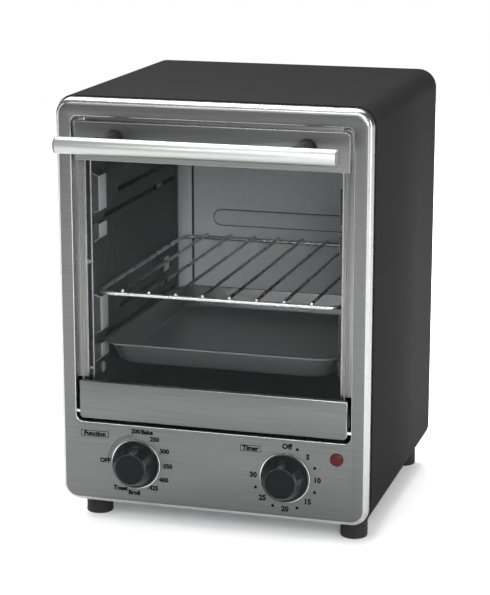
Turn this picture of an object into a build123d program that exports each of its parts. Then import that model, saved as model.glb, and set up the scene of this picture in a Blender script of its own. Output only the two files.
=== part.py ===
from build123d import *

import os

# Toaster oven, millimetres. Design frame: origin at the bottom centre of the bezel's front
# face, X to the right, Y to the back, Z up. save() moves each node into the row frame, whose
# origin is the bottom centre of the whole object's box, with the feet standing on Z = 0.
# FIT is the gap between sheets that nest, and PAST is how far a cutter runs past what it cuts.

# ---- Overall body -------------------------------------------------------------------------
BEZEL_W = 256.0
BEZEL_H = 331.2
BODY_D = 242.8
FOOT_H = 20.5
SHEET = 1.0
FIT = 0.1
PAST = 1.0

# ---- Bezel and shell ----------------------------------------------------------------------
BEZEL_CORNER = 14.0
BEZEL_ROLL = 6.0
BEZEL_D = 12.0
SHELL_T = 1.2
SHELL_GAP = 0.2
SHELL_LAP = 2.0
SHELL_LIP = 10.0
SHELL_FLANGE = 33.0
SHELL_FLANGE_END = 14.0
SIDE_FRAME = 14.0
TOP_FRAME = 14.2
CONTROL_H = 68.2
OPENING_CORNER = 5.5
DOOR_BACK_GAP = 1.0

# ---- Rear cover ---------------------------------------------------------------------------
BULGE_D = 13.2
BULGE_CORNER = 12.0
BULGE_EDGE = 4.0
BULGE_FLANGE = 4.0
REAR_GAP = 6.0
VENT_W = 4.0
VENT_L = 44.0
VENT_PITCH = 12.0
VENT_COUNT = 9
VENT_Z = 36.0

# ---- Door ---------------------------------------------------------------------------------
DOOR_SIDE_GAP = 3.0
DOOR_TOP_GAP = 3.4
DOOR_BOTTOM_GAP = 2.8
RAIL_H = 31.2
RAIL_SHEET = 0.8
GLASS_T = 3.6
GLASS_INSET = 1.6
GLASS_BITE = 22.0
PIVOT_UP = 5.3
PIN_R = 1.5
PIN_FIT = 0.05
PIN_CLEAR = 0.3
PIN_OUT = 7.0
PIN_IN = 10.0
BRACKET_T = 3.0
BRACKET_H = 26.0
BRACKET_D = 16.0
ARM_R_IN = 21.0
ARM_R_OUT = 25.0
ARM_T = 1.5
ARM_GAP = 2.0
ARM_DROP = 2.0
ARM_FOOT_H = 16.0
ARM_FOOT_W = 4.6
ARM_FOOT_DOWN = 1.0
SPRING_R = 3.5
SPRING_WIRE_R = 0.6
SPRING_PITCH = 3.6
SPRING_OFFSET = 3.6

# ---- Handle -------------------------------------------------------------------------------
HANDLE_R = 6.5
HANDLE_WALL = 1.2
HANDLE_OVERHANG = 0.75
HANDLE_Y = -40.0
HANDLE_DOWN = 13.0
CAP_L = 1.5
CAP_EDGE = 0.5
CAP_SPIGOT_L = 8.0
STANDOFF_R = 7.25
STANDOFF_X = 77.7
SCREW_R = 2.0
SCREW_HEAD_R = 4.0
SCREW_HEAD_T = 2.0
SCREW_CLEAR = 0.2
GLASS_HOLE_R = 3.5
HANDLE_SCREW_IN = 3.0

# ---- Jambs and cavity ---------------------------------------------------------------------
JAMB_W = 9.3
JAMB_T = 1.0
JAMB_BACK = 4.0
JAMB_WEB_D = 14.0
JAMB_TOP_H = 10.5
JAMB_FOOT_UP = 1.8
CAVITY_STEP = 1.7
CAVITY_SET_BACK = 6.6
CAVITY_LIP = 9.0
CAVITY_CORNER = 13.0
CAVITY_FLOOR_UP = 2.5
CAVITY_ROOF_DOWN = 7.0
RIVET_R = 1.6
RIVET_T = 0.8
RIVET_FROM_LIP = 2.55
RIVET_RISES = (39.0, 127.4)

# ---- Shelf lugs and guide slots -----------------------------------------------------------
# A rise is a height above the cavity floor. A slot is its rise, its distance behind the
# cavity's front edge and its distance in front of the side wall's rear edge.
LUG_REACH = 4.5
LUG_BEHIND = 6.5
LUG_L = 17.5
LUG_RAMP = 3.0
LUG_SLOPE = 2.0
LUG_SHORT_H = 16.0
LUG_TALL_H = 33.0
LUG_SHORT_RISE = 58.9
LUG_TALL_RISE = 99.7
UPPER_LUG_DOWN = 40.6
REAR_LUG_AHEAD = 53.5
REAR_LUG_L = 12.5
REAR_LUG_H = 15.5
REAR_LUG_RISE = 96.3
BOSS_R = 4.4
BOSS_RISE = 36.0
BOSS_BEHIND = 17.0
SLOT_H = 4.5
SLOT_LOW = (60.3, 29.5, 10.0)
SLOT_HIGH = (75.8, 62.0, 49.0)

# ---- Heating elements ---------------------------------------------------------------------
ELEMENT_R = 4.0
ELEMENT_OUT = 12.0
ELEMENT_UPPER_DOWN = 12.0
ELEMENT_LOWER_UP = 11.5
ELEMENT_FRONT = 32.0
ELEMENT_BACK = 48.0
INSULATOR_R = 6.5
INSULATOR_L = 8.0
ELEMENT_HOLE_CLEAR = 0.5

# ---- Rack, tray and crumb tray ------------------------------------------------------------
RACK_WIRE_R = 1.7
RACK_ROD_R = 1.3
RACK_WELD = 0.1
RACK_ROD_PITCH = 22.33
RACK_ROD_COUNT = 8
RACK_SIDE_GAP = 2.5
RACK_FRONT = 3.5
RACK_BACK_GAP = 4.0
RACK_CORNER = 12.0
RACK_LIFT = 0.3
RACK_ROD_OVER = 1.0
TRAY_SIDE_GAP = 3.0
TRAY_FRONT = 3.0
TRAY_BACK_GAP = 18.0
TRAY_DEPTH = 17.5
TRAY_T = 1.0
TRAY_RIM_W = 4.0
TRAY_SLOPE = 7.5
TRAY_CORNER = 17.0
TRAY_LIFT = 0.3
CRUMB_SIDE_GAP = 6.0
CRUMB_FRONT_GAP = 5.0
CRUMB_T = 0.8
CRUMB_H = 4.0
CRUMB_LIFT = 0.4
CRUMB_SLOT_CLEAR = 1.0
CRUMB_SLOT_LOW = 0.33
CRUMB_REAR_GAP = 0.3
CRUMB_PULL_T = 1.2
CRUMB_PULL_H = 20.0
CRUMB_PULL_W = 120.0
CRUMB_GRIP_L = 5.0

# ---- Controls -----------------------------------------------------------------------------
FUNCTION_SIDE_IN = 64.7
TIMER_SIDE_IN = 66.8
KNOB_Z = 36.0
KNOB_BASE_R = 19.4
KNOB_CAP_R = 12.9
KNOB_BAND = 1.5
KNOB_D = 14.5
KNOB_GAP = 1.5
KNOB_HOLLOW_R = 11.0
KNOB_HOLLOW_D = 6.0
KNOB_BORE_D = 11.5
POINTER_W = 3.0
POINTER_R = 14.5
SHAFT_R = 3.0
SHAFT_FIT = 0.05
BUSH_R = 4.5
BUSH_CLEAR = 0.3
BUSH_OUT = 4.5
NUT_R = 7.5
NUT_T = 2.2
SHAFT_BACK = 14.0
SWITCH_W = 32.0
SWITCH_H = 28.0
SWITCH_D = 24.0
TIMER_R = 24.0
TIMER_D = 34.0
RING_W = 1.2
RING_T = 1.0
LAMP_SIDE_IN = 25.0
LAMP_DOWN = 13.6
LAMP_R = 5.35
LAMP_STEM_R = 4.2
LAMP_OUT = 2.2
LAMP_ROUND = 1.7
LAMP_IN = 8.0
LAMP_HOLDER_R = 5.5
LAMP_HOLDER_L = 18.0

# ---- Base, feet, rear fittings ------------------------------------------------------------
BASE_T = 1.2
BASE_INSET = 1.0
FOOT_R = 11.0
FOOT_SIDE_IN = 19.0
FOOT_FRONT_Y = 38.0
FOOT_REAR_IN = 12.8
FOOT_EDGE = 1.5
SHIELD_DOWN = 6.2
SHIELD_LAMP_GAP = 3.5
SHIELD_GLAND_GAP = 6.2
REAR_SCREW_R = 1.75
REAR_SCREW_HEAD_R = 3.6
REAR_SCREW_L = 8.0
REAR_SCREW_IN = 6.0
GLAND_SIDE_IN = 40.0
GLAND_Z = 34.0
GLAND_R = 7.0
GLAND_FLANGE_R = 10.0
GLAND_BORE_R = 3.7
GLAND_OUT = 6.0
GLAND_IN = 10.0
BLOCK_W = 42.0
BLOCK_D = 20.0
BLOCK_H = 18.0
BLOCK_SIDE_IN = 34.0
BLOCK_FROM_REAR = 60.0
BLOCK_WAY_R = 3.0
BLOCK_WAY_PITCH = 13.0

# ---- Sizes that follow from the ones above ------------------------------------------------
HALF_W = BEZEL_W / 2
OPEN_HALF = HALF_W - SIDE_FRAME
OPEN_TOP = BEZEL_H - TOP_FRAME
DOOR_HALF = OPEN_HALF - DOOR_SIDE_GAP
DOOR_LOW = CONTROL_H + DOOR_BOTTOM_GAP
DOOR_HIGH = OPEN_TOP - DOOR_TOP_GAP
RAIL_D = 2 * RAIL_SHEET + GLASS_T + 2 * FIT
RETURN_D = RAIL_D + DOOR_BACK_GAP
GLASS_Y = RAIL_SHEET + FIT
PIVOT_Y = RAIL_D / 2
PIVOT_Z = DOOR_LOW + PIVOT_UP
HANDLE_Z = DOOR_HIGH - HANDLE_DOWN
HANDLE_HALF = DOOR_HALF + HANDLE_OVERHANG
JAMB_Y = RETURN_D
JAMB_IN = OPEN_HALF - JAMB_W
CAVITY_HALF = JAMB_IN - CAVITY_STEP
CAVITY_FRONT = RETURN_D + CAVITY_SET_BACK
ARM_X = CAVITY_HALF + SHEET + ARM_GAP
JAMB_LOW = DOOR_LOW + RAIL_H + JAMB_FOOT_UP
CAVITY_BACK = BODY_D + BULGE_D - SHEET - REAR_GAP - SHEET
CAVITY_FLOOR = CONTROL_H + CAVITY_FLOOR_UP
CAVITY_ROOF = OPEN_TOP - CAVITY_ROOF_DOWN
WALL_BACK = CAVITY_BACK - CAVITY_CORNER
LUG_FRONT = CAVITY_FRONT + LUG_BEHIND
LUG_SHORT_TOP = CAVITY_FLOOR + LUG_SHORT_RISE
LUG_TALL_TOP = CAVITY_FLOOR + LUG_TALL_RISE
LEVEL_RISE = CAVITY_ROOF - UPPER_LUG_DOWN - LUG_TALL_TOP
SHELL_HALF = HALF_W + SHELL_GAP + SHELL_T
SHELL_LOW = -SHELL_GAP - SHELL_T
SHELL_HIGH = BEZEL_H + SHELL_GAP + SHELL_T
SHELL_FRONT = BEZEL_D - SHELL_LAP
BASE_TOP = SHELL_LOW + SHELL_T + BASE_T
COVER_Y = BODY_D - SHEET
LIP_Y = COVER_Y - SHELL_T
BULGE_Y = BODY_D + BULGE_D
BULGE_HALF = CAVITY_HALF + SHEET + REAR_GAP
BULGE_LOW = CAVITY_FLOOR - SHEET - REAR_GAP
BULGE_HIGH = CAVITY_ROOF + SHEET + REAR_GAP
RACK_WIRE_Z = LUG_TALL_TOP + RACK_LIFT + RACK_WIRE_R
RACK_ROD_Z = RACK_WIRE_Z + RACK_WIRE_R + RACK_ROD_R - RACK_WELD
RACK_HALF = CAVITY_HALF - RACK_SIDE_GAP
RACK_Y0 = CAVITY_FRONT + RACK_FRONT
RACK_Y1 = CAVITY_BACK - RACK_BACK_GAP
TRAY_RIM_Z = LUG_SHORT_TOP + TRAY_LIFT + TRAY_T
TRAY_HALF = CAVITY_HALF - TRAY_SIDE_GAP
TRAY_Y0 = CAVITY_FRONT + TRAY_FRONT
TRAY_L = CAVITY_BACK - TRAY_BACK_GAP - TRAY_Y0
CRUMB_HALF = CAVITY_HALF - CRUMB_SIDE_GAP
CRUMB_LOW = CAVITY_FLOOR + CRUMB_LIFT
CRUMB_TOP = CRUMB_LOW + CRUMB_H
CRUMB_BACK = BULGE_Y + CRUMB_REAR_GAP
ELEMENT_YS = (CAVITY_FRONT + ELEMENT_FRONT, CAVITY_BACK - ELEMENT_BACK)
ELEMENT_HIGH_Z = CAVITY_ROOF - ELEMENT_UPPER_DOWN
ELEMENT_LOW_Z = CAVITY_FLOOR + ELEMENT_LOWER_UP
ARM_TAIL_Y = PIVOT_Y + (ARM_R_IN + ARM_R_OUT) / 2
SPRING_X = ARM_X + SPRING_OFFSET
FUNCTION_X = FUNCTION_SIDE_IN - HALF_W
TIMER_X = HALF_W - TIMER_SIDE_IN
RING_R = KNOB_BASE_R + RING_W
LAMP_X = HALF_W - LAMP_SIDE_IN
LAMP_Z = CONTROL_H - LAMP_DOWN
SHIELD_HALF = LAMP_X - LAMP_HOLDER_R - SHIELD_LAMP_GAP
SHIELD_Z = CONTROL_H - SHIELD_DOWN
SHIELD_BACK = BODY_D - GLAND_IN - SHIELD_GLAND_GAP
GLAND_X = GLAND_SIDE_IN - HALF_W
BLOCK_X = BLOCK_SIDE_IN - SHIELD_HALF
FOOT_X = HALF_W - FOOT_SIDE_IN
FOOT_SPOTS = [(x, y) for x in (-FOOT_X, FOOT_X) for y in (FOOT_FRONT_Y, BODY_D - FOOT_REAR_IN)]
FRONT_MOST = HANDLE_Y - HANDLE_R
REAR_MOST = CRUMB_BACK + CRUMB_PULL_T + CRUMB_GRIP_L
ROW_Y = -(FRONT_MOST + REAR_MOST) / 2
SIDES = (-1, 1)


def block(x0, x1, y0, y1, z0, z1):
    """A box between two corners."""
    middle = Pos((x0 + x1) / 2, (y0 + y1) / 2, (z0 + z1) / 2)
    return middle * Box(abs(x1 - x0), abs(y1 - y0), abs(z1 - z0))


def mirrored_block(side, x0, x1, y0, y1, z0, z1):
    """A box given for the right side, on the side named by +1 or -1."""
    return block(side * x0, side * x1, y0, y1, z0, z1)


def rod_x(radius, x0, x1, y, z):
    """A round bar along X."""
    return Pos((x0 + x1) / 2, y, z) * Rot(0, 90, 0) * Cylinder(radius, abs(x1 - x0))


def rod_y(radius, x, y0, y1, z):
    """A round bar along Y."""
    return Pos(x, (y0 + y1) / 2, z) * Rot(90, 0, 0) * Cylinder(radius, abs(y1 - y0))


def rod_z(radius, x, y, z0, z1):
    """A round bar along Z."""
    return Pos(x, y, (z0 + z1) / 2) * Cylinder(radius, abs(z1 - z0))


def prism_y(outline, y0, y1):
    """An outline drawn in X and Z, given depth from y0 back to y1."""
    return extrude(Plane.XZ.offset(-y1) * outline, amount=y1 - y0)


def panel_y(half_w, z0, z1, corner, y0, y1):
    """A plate facing the front with rounded corners, centred on X = 0."""
    return prism_y(Pos(0, (z0 + z1) / 2) * RectangleRounded(2 * half_w, z1 - z0, corner), y0, y1)


def hex_y(radius, x, y0, y1, z):
    """A hexagonal bar along Y; radius is to the corners."""
    return prism_y(Pos(x, z) * RegularPolygon(radius, 6), y0, y1)


def save(node, *solids):
    """Move the solids to the row frame and write them as one node."""
    moved = [Pos(0, ROW_Y, FOOT_H) * piece for shape in solids for piece in shape.solids()]
    export_step(Compound(label=node, children=moved), f"parts/{node}.step")


def front_form(inset, y0, y1):
    """The bezel's outer form, smaller all round by inset, with its rolled front edge."""
    form = panel_y(HALF_W - inset, inset, BEZEL_H - inset, BEZEL_CORNER - inset, y0, y1)
    rim = form.faces().sort_by(Axis.Y)[0].edges()
    return fillet(rim, BEZEL_ROLL - inset)


def make_bezel():
    """Brushed front pressing: door opening with its return wall, holes for the controls."""
    bezel = front_form(0, 0, BEZEL_D) - front_form(SHEET, SHEET, BEZEL_D + PAST)
    bezel += panel_y(
        OPEN_HALF + SHEET, CONTROL_H - SHEET, OPEN_TOP + SHEET, OPENING_CORNER + SHEET, SHEET, RETURN_D
    )
    bezel -= panel_y(OPEN_HALF, CONTROL_H, OPEN_TOP, OPENING_CORNER, -PAST, RETURN_D + PAST)
    for x in (FUNCTION_X, TIMER_X):
        bezel -= rod_y(BUSH_R + BUSH_CLEAR, x, -PAST, SHEET + PAST, KNOB_Z)
    bezel -= rod_y(LAMP_STEM_R + FIT, LAMP_X, -PAST, SHEET + PAST, LAMP_Z)
    for side in SIDES:
        hole_in = side * (OPEN_HALF - PAST)
        hole_out = side * (OPEN_HALF + SHEET + PAST)
        bezel -= rod_x(PIN_R + PIN_CLEAR, hole_in, hole_out, PIVOT_Y, PIVOT_Z)
    save("front_bezel", bezel)


def foot_holes():
    """Clearance holes for the foot screws, through shell and base plate."""
    return [rod_z(SCREW_R + SCREW_CLEAR, x, y, SHELL_LOW - PAST, BASE_TOP + PAST) for x, y in FOOT_SPOTS]


def rear_screw_spots():
    """Eight places round the rear cover, over the middle of the shell's lip."""
    x_out = SHELL_HALF - SHELL_T - REAR_SCREW_IN
    z_low = SHELL_LOW + SHELL_T + REAR_SCREW_IN
    z_high = SHELL_HIGH - SHELL_T - REAR_SCREW_IN
    z_third = (z_high - z_low) / 3
    sides = [(side * x_out, z_low + step * z_third) for side in SIDES for step in (1, 2)]
    ends = [(side * x_out / 2, z) for side in SIDES for z in (z_low, z_high)]
    return sides + ends


def make_shell():
    """Black sheet wrapped round top, sides and bottom, with a lip for the rear cover."""
    corner = BEZEL_CORNER + SHELL_GAP
    outer = panel_y(SHELL_HALF, SHELL_LOW, SHELL_HIGH, corner + SHELL_T, SHELL_FRONT, BODY_D)
    inner_half = SHELL_HALF - SHELL_T
    inner_low = SHELL_LOW + SHELL_T
    inner_high = SHELL_HIGH - SHELL_T
    shell = outer - panel_y(inner_half, inner_low, inner_high, corner, SHELL_FRONT - PAST, LIP_Y)
    shell -= panel_y(inner_half, inner_low, inner_high, corner, COVER_Y, BODY_D + PAST)
    shell -= panel_y(
        inner_half - SHELL_LIP, inner_low + SHELL_LIP, inner_high - SHELL_LIP, corner,
        LIP_Y - PAST, COVER_Y + PAST,
    )
    floor_half = SHELL_HALF - SHELL_FLANGE
    shell -= block(
        -floor_half, floor_half, SHELL_FRONT + SHELL_FLANGE_END, LIP_Y - SHELL_FLANGE_END,
        SHELL_LOW - PAST, inner_low + PAST,
    )
    for hole in foot_holes():
        shell -= hole
    for x, z in rear_screw_spots():
        shell -= rod_y(REAR_SCREW_R, x, LIP_Y - PAST, COVER_Y + PAST, z)
    save("wrap_shell", shell)


def crumb_slot(y0, y1):
    """The cut that the crumb tray slides through."""
    return block(
        -CRUMB_HALF - CRUMB_SLOT_CLEAR, CRUMB_HALF + CRUMB_SLOT_CLEAR, y0, y1,
        CRUMB_LOW - CRUMB_SLOT_LOW, CRUMB_TOP + CRUMB_SLOT_CLEAR,
    )


def make_rear_cover():
    """Flat rear sheet with its vents, the gland hole and the opening behind the cavity."""
    inner_half = SHELL_HALF - SHELL_T - FIT
    low = SHELL_LOW + SHELL_T + FIT
    high = SHELL_HIGH - SHELL_T - FIT
    cover = panel_y(inner_half, low, high, BEZEL_CORNER + SHELL_GAP - FIT, COVER_Y, BODY_D)
    cover -= panel_y(BULGE_HALF, BULGE_LOW, BULGE_HIGH, BULGE_CORNER, COVER_Y - PAST, BODY_D + PAST)
    first = -(VENT_COUNT - 1) / 2 * VENT_PITCH
    for index in range(VENT_COUNT):
        vent = Pos(first + index * VENT_PITCH, VENT_Z) * SlotOverall(VENT_L, VENT_W, rotation=90)
        cover -= prism_y(vent, COVER_Y - PAST, BODY_D + PAST)
    for x, z in rear_screw_spots():
        cover -= rod_y(REAR_SCREW_R + SCREW_CLEAR, x, COVER_Y - PAST, BODY_D + PAST, z)
    cover -= rod_y(GLAND_R, GLAND_X, COVER_Y - PAST, BODY_D + PAST, GLAND_Z)
    save("rear_cover", cover)
    screws = []
    for x, z in rear_screw_spots():
        shank = rod_y(REAR_SCREW_R, x, BODY_D - REAR_SCREW_L, BODY_D, z)
        head = rod_y(REAR_SCREW_HEAD_R, x, BODY_D, BODY_D + SCREW_HEAD_T, z)
        head = fillet(head.faces().sort_by(Axis.Y)[-1].edges(), SCREW_HEAD_T / 2)
        screws.append(shank + head)
    save("rear_screws", *screws)


def make_bulge():
    """Pressed box over the cover's opening, flanged to it, with the crumb tray's slot."""
    bulge = panel_y(
        BULGE_HALF + SHEET, BULGE_LOW - SHEET, BULGE_HIGH + SHEET, BULGE_CORNER + SHEET, BODY_D, BULGE_Y
    )
    bulge = fillet(bulge.faces().sort_by(Axis.Y)[-1].edges(), BULGE_EDGE)
    bulge += panel_y(
        BULGE_HALF + BULGE_FLANGE, BULGE_LOW - BULGE_FLANGE, BULGE_HIGH + BULGE_FLANGE,
        BULGE_CORNER + BULGE_FLANGE, BODY_D, BODY_D + SHEET,
    )
    hollow = panel_y(BULGE_HALF, BULGE_LOW, BULGE_HIGH, BULGE_CORNER, BODY_D - PAST, BULGE_Y - SHEET)
    hollow = fillet(hollow.faces().sort_by(Axis.Y)[-1].edges(), BULGE_EDGE - SHEET)
    save("rear_bulge", bulge - hollow - crumb_slot(BULGE_Y - SHEET - PAST, BULGE_Y + PAST))


def make_base():
    """Base plate on the shell's flanges, heat shield, feet and their screws."""
    half = SHELL_HALF - SHELL_T - SHELL_GAP - BEZEL_CORNER
    plate = block(-half, half, BEZEL_D + BASE_INSET, LIP_Y - BASE_INSET, BASE_TOP - BASE_T, BASE_TOP)
    for hole in foot_holes():
        plate -= hole
    save("base_plate", plate)
    front = BEZEL_D + BASE_INSET
    shield_top = SHIELD_Z + SHEET
    shield = block(-SHIELD_HALF, SHIELD_HALF, front, SHIELD_BACK, SHIELD_Z, shield_top)
    for side in SIDES:
        shield += mirrored_block(
            side, SHIELD_HALF - SHEET, SHIELD_HALF, front, SHIELD_BACK, BASE_TOP, shield_top
        )
    save("heat_shield", shield)
    feet = []
    screws = []
    for x, y in FOOT_SPOTS:
        foot = rod_z(FOOT_R, x, y, -FOOT_H, SHELL_LOW)
        foot = fillet(foot.faces().sort_by(Axis.Z)[0].edges(), FOOT_EDGE)
        foot -= rod_z(SCREW_R, x, y, -FOOT_H / 2, SHELL_LOW + PAST)
        feet.append(foot)
        shank = rod_z(SCREW_R, x, y, -FOOT_H / 2, BASE_TOP)
        head = rod_z(SCREW_HEAD_R, x, y, BASE_TOP, BASE_TOP + SCREW_HEAD_T)
        screws.append(shank + head)
    save("feet", *feet)
    save("foot_screws", *screws)


def guide_slot(side, rise, behind, ahead):
    """A round-ended slot through a side wall at a rise above the cavity floor."""
    y0 = CAVITY_FRONT + behind
    y1 = WALL_BACK - ahead
    outline = Pos((y0 + y1) / 2, CAVITY_FLOOR + rise) * SlotOverall(y1 - y0, SLOT_H)
    inner = min(side * (CAVITY_HALF - PAST), side * (CAVITY_HALF + SHEET + PAST))
    return extrude(Plane.YZ.offset(inner) * outline, amount=SHEET + 2 * PAST)


def make_cavity():
    """Cavity walls, back, roof and floor: the oven's inner box."""
    for side, name in ((-1, "cavity_wall_left"), (1, "cavity_wall_right")):
        outside = CAVITY_HALF + SHEET
        wall = mirrored_block(side, CAVITY_HALF, outside, CAVITY_FRONT, WALL_BACK, CAVITY_FLOOR, CAVITY_ROOF)
        wall += mirrored_block(
            side, outside, CAVITY_HALF + CAVITY_LIP, CAVITY_FRONT, CAVITY_FRONT + SHEET, JAMB_LOW, CAVITY_ROOF
        )
        hole_r = ELEMENT_R + ELEMENT_HOLE_CLEAR
        for z in (ELEMENT_LOW_Z, ELEMENT_HIGH_Z):
            for y in ELEMENT_YS:
                wall -= rod_x(hole_r, side * (CAVITY_HALF - PAST), side * (outside + PAST), y, z)
        for rise, behind, ahead in (SLOT_LOW, SLOT_HIGH):
            wall -= guide_slot(side, rise, behind, ahead)
            wall -= guide_slot(side, rise + LEVEL_RISE, behind, ahead)
        save(name, wall)
    outer = RectangleRounded(2 * (CAVITY_HALF + SHEET), 4 * CAVITY_CORNER, CAVITY_CORNER + SHEET)
    inner = RectangleRounded(2 * CAVITY_HALF, 4 * CAVITY_CORNER - 2 * SHEET, CAVITY_CORNER)
    ring = Pos(0, CAVITY_BACK + SHEET - 2 * CAVITY_CORNER) * (outer - inner)
    back = extrude(Plane.XY.offset(CAVITY_FLOOR) * ring, amount=CAVITY_ROOF - CAVITY_FLOOR)
    back -= block(-HALF_W, HALF_W, 0, WALL_BACK, 0, BEZEL_H)
    back -= crumb_slot(WALL_BACK, CAVITY_BACK + SHEET + PAST)
    save("cavity_back", back)
    wide = CAVITY_HALF + SHEET
    deep = CAVITY_BACK + SHEET
    save("cavity_roof", block(-wide, wide, CAVITY_FRONT, deep, CAVITY_ROOF, CAVITY_ROOF + SHEET))
    save("cavity_floor", block(-wide, wide, CAVITY_FRONT, deep, CAVITY_FLOOR - SHEET, CAVITY_FLOOR))


def make_jambs():
    """Folded strips behind the door opening, and the rivets that show in their shadow."""
    outer = OPEN_HALF + JAMB_BACK
    for side, name in ((-1, "jamb_left"), (1, "jamb_right")):
        face = mirrored_block(side, JAMB_IN, outer, JAMB_Y, JAMB_Y + JAMB_T, JAMB_LOW, OPEN_TOP)
        web = mirrored_block(
            side, outer - JAMB_T, outer, JAMB_Y, JAMB_Y + JAMB_WEB_D, JAMB_LOW, OPEN_TOP
        )
        save(name, face + web)
    top_low = OPEN_TOP - JAMB_TOP_H
    top = block(-JAMB_IN, JAMB_IN, JAMB_Y, JAMB_Y + JAMB_T, top_low, OPEN_TOP + JAMB_BACK)
    save("jamb_top", top)
    rivets = []
    for side in SIDES:
        for rise in RIVET_RISES:
            x = side * (CAVITY_HALF + RIVET_FROM_LIP)
            z = CAVITY_FLOOR + rise
            rivet = rod_y(RIVET_R, x, CAVITY_FRONT - RIVET_T, CAVITY_FRONT, z)
            rivets.append(fillet(rivet.faces().sort_by(Axis.Y)[0].edges(), RIVET_T / 2))
    save("jamb_rivets", *rivets)


def lug(side, y0, length, z_top, height):
    """A lug pressed out of the side wall: a ramp in front, a flat face, a short slope behind."""
    wall = side * CAVITY_HALF
    crest = side * (CAVITY_HALF - LUG_REACH)
    outline = Polyline(
        (wall, y0 - LUG_RAMP), (crest, y0), (crest, y0 + length), (wall, y0 + length + LUG_SLOPE), close=True
    )
    return extrude(Plane.XY.offset(z_top - height) * make_face(outline), amount=height)


def make_lugs():
    """Lugs, rear lug and round boss on each side wall."""
    for side, name in ((-1, "shelf_lugs_left"), (1, "shelf_lugs_right")):
        lugs = []
        for level in (0, LEVEL_RISE):
            lugs.append(lug(side, LUG_FRONT, LUG_L, LUG_SHORT_TOP + level, LUG_SHORT_H))
            lugs.append(lug(side, LUG_FRONT, LUG_L, LUG_TALL_TOP + level, LUG_TALL_H))
        rear_y = WALL_BACK - REAR_LUG_AHEAD
        lugs.append(lug(side, rear_y, REAR_LUG_L, CAVITY_FLOOR + REAR_LUG_RISE, REAR_LUG_H))
        crest = side * (CAVITY_HALF - LUG_REACH / 2)
        boss_y = CAVITY_FRONT + BOSS_BEHIND
        lugs.append(rod_x(BOSS_R, crest, side * CAVITY_HALF, boss_y, CAVITY_FLOOR + BOSS_RISE))
        save(name, *lugs)


def make_elements():
    """Sheathed heating elements across the cavity, held in ceramic ends outside the walls."""
    insulators = []
    end = CAVITY_HALF + ELEMENT_OUT
    for node, z in (("lower_elements", ELEMENT_LOW_Z), ("upper_elements", ELEMENT_HIGH_Z)):
        rods = [rod_x(ELEMENT_R, -end, end, y, z) for y in ELEMENT_YS]
        save(node, *rods)
        for y, rod in zip(ELEMENT_YS, rods):
            for side in SIDES:
                seat = side * (CAVITY_HALF + SHEET)
                insulators.append(rod_x(INSULATOR_R, seat, seat + side * INSULATOR_L, y, z) - rod)
    save("element_insulators", *insulators)


def make_door():
    """Door rails, glass, pivot pins, arms and springs."""
    inner_half = DOOR_HALF - RAIL_SHEET
    screw_spots = [(side * STANDOFF_X, HANDLE_Z) for side in SIDES]
    top = block(-DOOR_HALF, DOOR_HALF, 0, RAIL_D, DOOR_HIGH - RAIL_H, DOOR_HIGH)
    pocket_back = RAIL_D - RAIL_SHEET
    top -= block(
        -inner_half, inner_half, RAIL_SHEET, pocket_back, DOOR_HIGH - RAIL_H - PAST, DOOR_HIGH - RAIL_SHEET
    )
    glass_half = inner_half - GLASS_INSET
    glass_low = DOOR_LOW + RAIL_H - GLASS_BITE
    glass_high = DOOR_HIGH - RAIL_H + GLASS_BITE
    glass = block(-glass_half, glass_half, GLASS_Y, GLASS_Y + GLASS_T, glass_low, glass_high)
    for x, z in screw_spots:
        top -= rod_y(SCREW_R + SCREW_CLEAR, x, -PAST, RAIL_D + PAST, z)
        glass -= rod_y(GLASS_HOLE_R, x, 0, RAIL_D, z)
    save("door_top_rail", top)
    save("door_glass", glass)
    bottom = block(-DOOR_HALF, DOOR_HALF, 0, RAIL_D, DOOR_LOW, DOOR_LOW + RAIL_H)
    bottom -= block(
        -inner_half, inner_half, RAIL_SHEET, pocket_back, DOOR_LOW + RAIL_SHEET, DOOR_LOW + RAIL_H + PAST
    )
    pins = []
    brackets = []
    arms = []
    springs = []
    for side in SIDES:
        pin = rod_x(PIN_R, side * (DOOR_HALF - PIN_IN), side * (DOOR_HALF + PIN_OUT), PIVOT_Y, PIVOT_Z)
        bottom -= pin
        pins.append(pin)
        seat = OPEN_HALF + SHEET
        low = CONTROL_H - SHEET
        bracket = mirrored_block(
            side, seat, seat + BRACKET_T, SHEET, BRACKET_D, low - BRACKET_H / 4, low + BRACKET_H * 3 / 4
        )
        bore_out = side * (seat + BRACKET_T + PAST)
        bracket -= rod_x(PIN_R + PIN_FIT, side * (seat - PAST), bore_out, PIVOT_Y, PIVOT_Z)
        brackets.append(bracket)
        arms.append(arm(side))
        springs.append(spring(side))
    save("door_bottom_rail", bottom)
    save("hinge_pins", *pins)
    save("hinge_brackets", *brackets)
    save("hinge_arms", *arms)
    save("door_springs", *springs)


def arm(side):
    """Curved arm behind the bottom rail, with the foot that fixes it there."""
    outer_x = ARM_X + ARM_T
    curve = rod_x(ARM_R_OUT, side * ARM_X, side * outer_x, PIVOT_Y, PIVOT_Z)
    curve -= rod_x(ARM_R_IN, side * (ARM_X - PAST), side * (outer_x + PAST), PIVOT_Y, PIVOT_Z)
    reach = ARM_R_OUT + PAST
    curve &= mirrored_block(
        side, ARM_X - PAST, outer_x + PAST, RAIL_D, PIVOT_Y + reach, PIVOT_Z - ARM_DROP, PIVOT_Z + reach
    )
    foot_top = PIVOT_Z + ARM_R_OUT - ARM_FOOT_DOWN
    foot = mirrored_block(
        side, ARM_X, ARM_X + ARM_FOOT_W, RAIL_D, RAIL_D + SHEET, foot_top - ARM_FOOT_H, foot_top
    )
    return curve + foot


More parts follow.
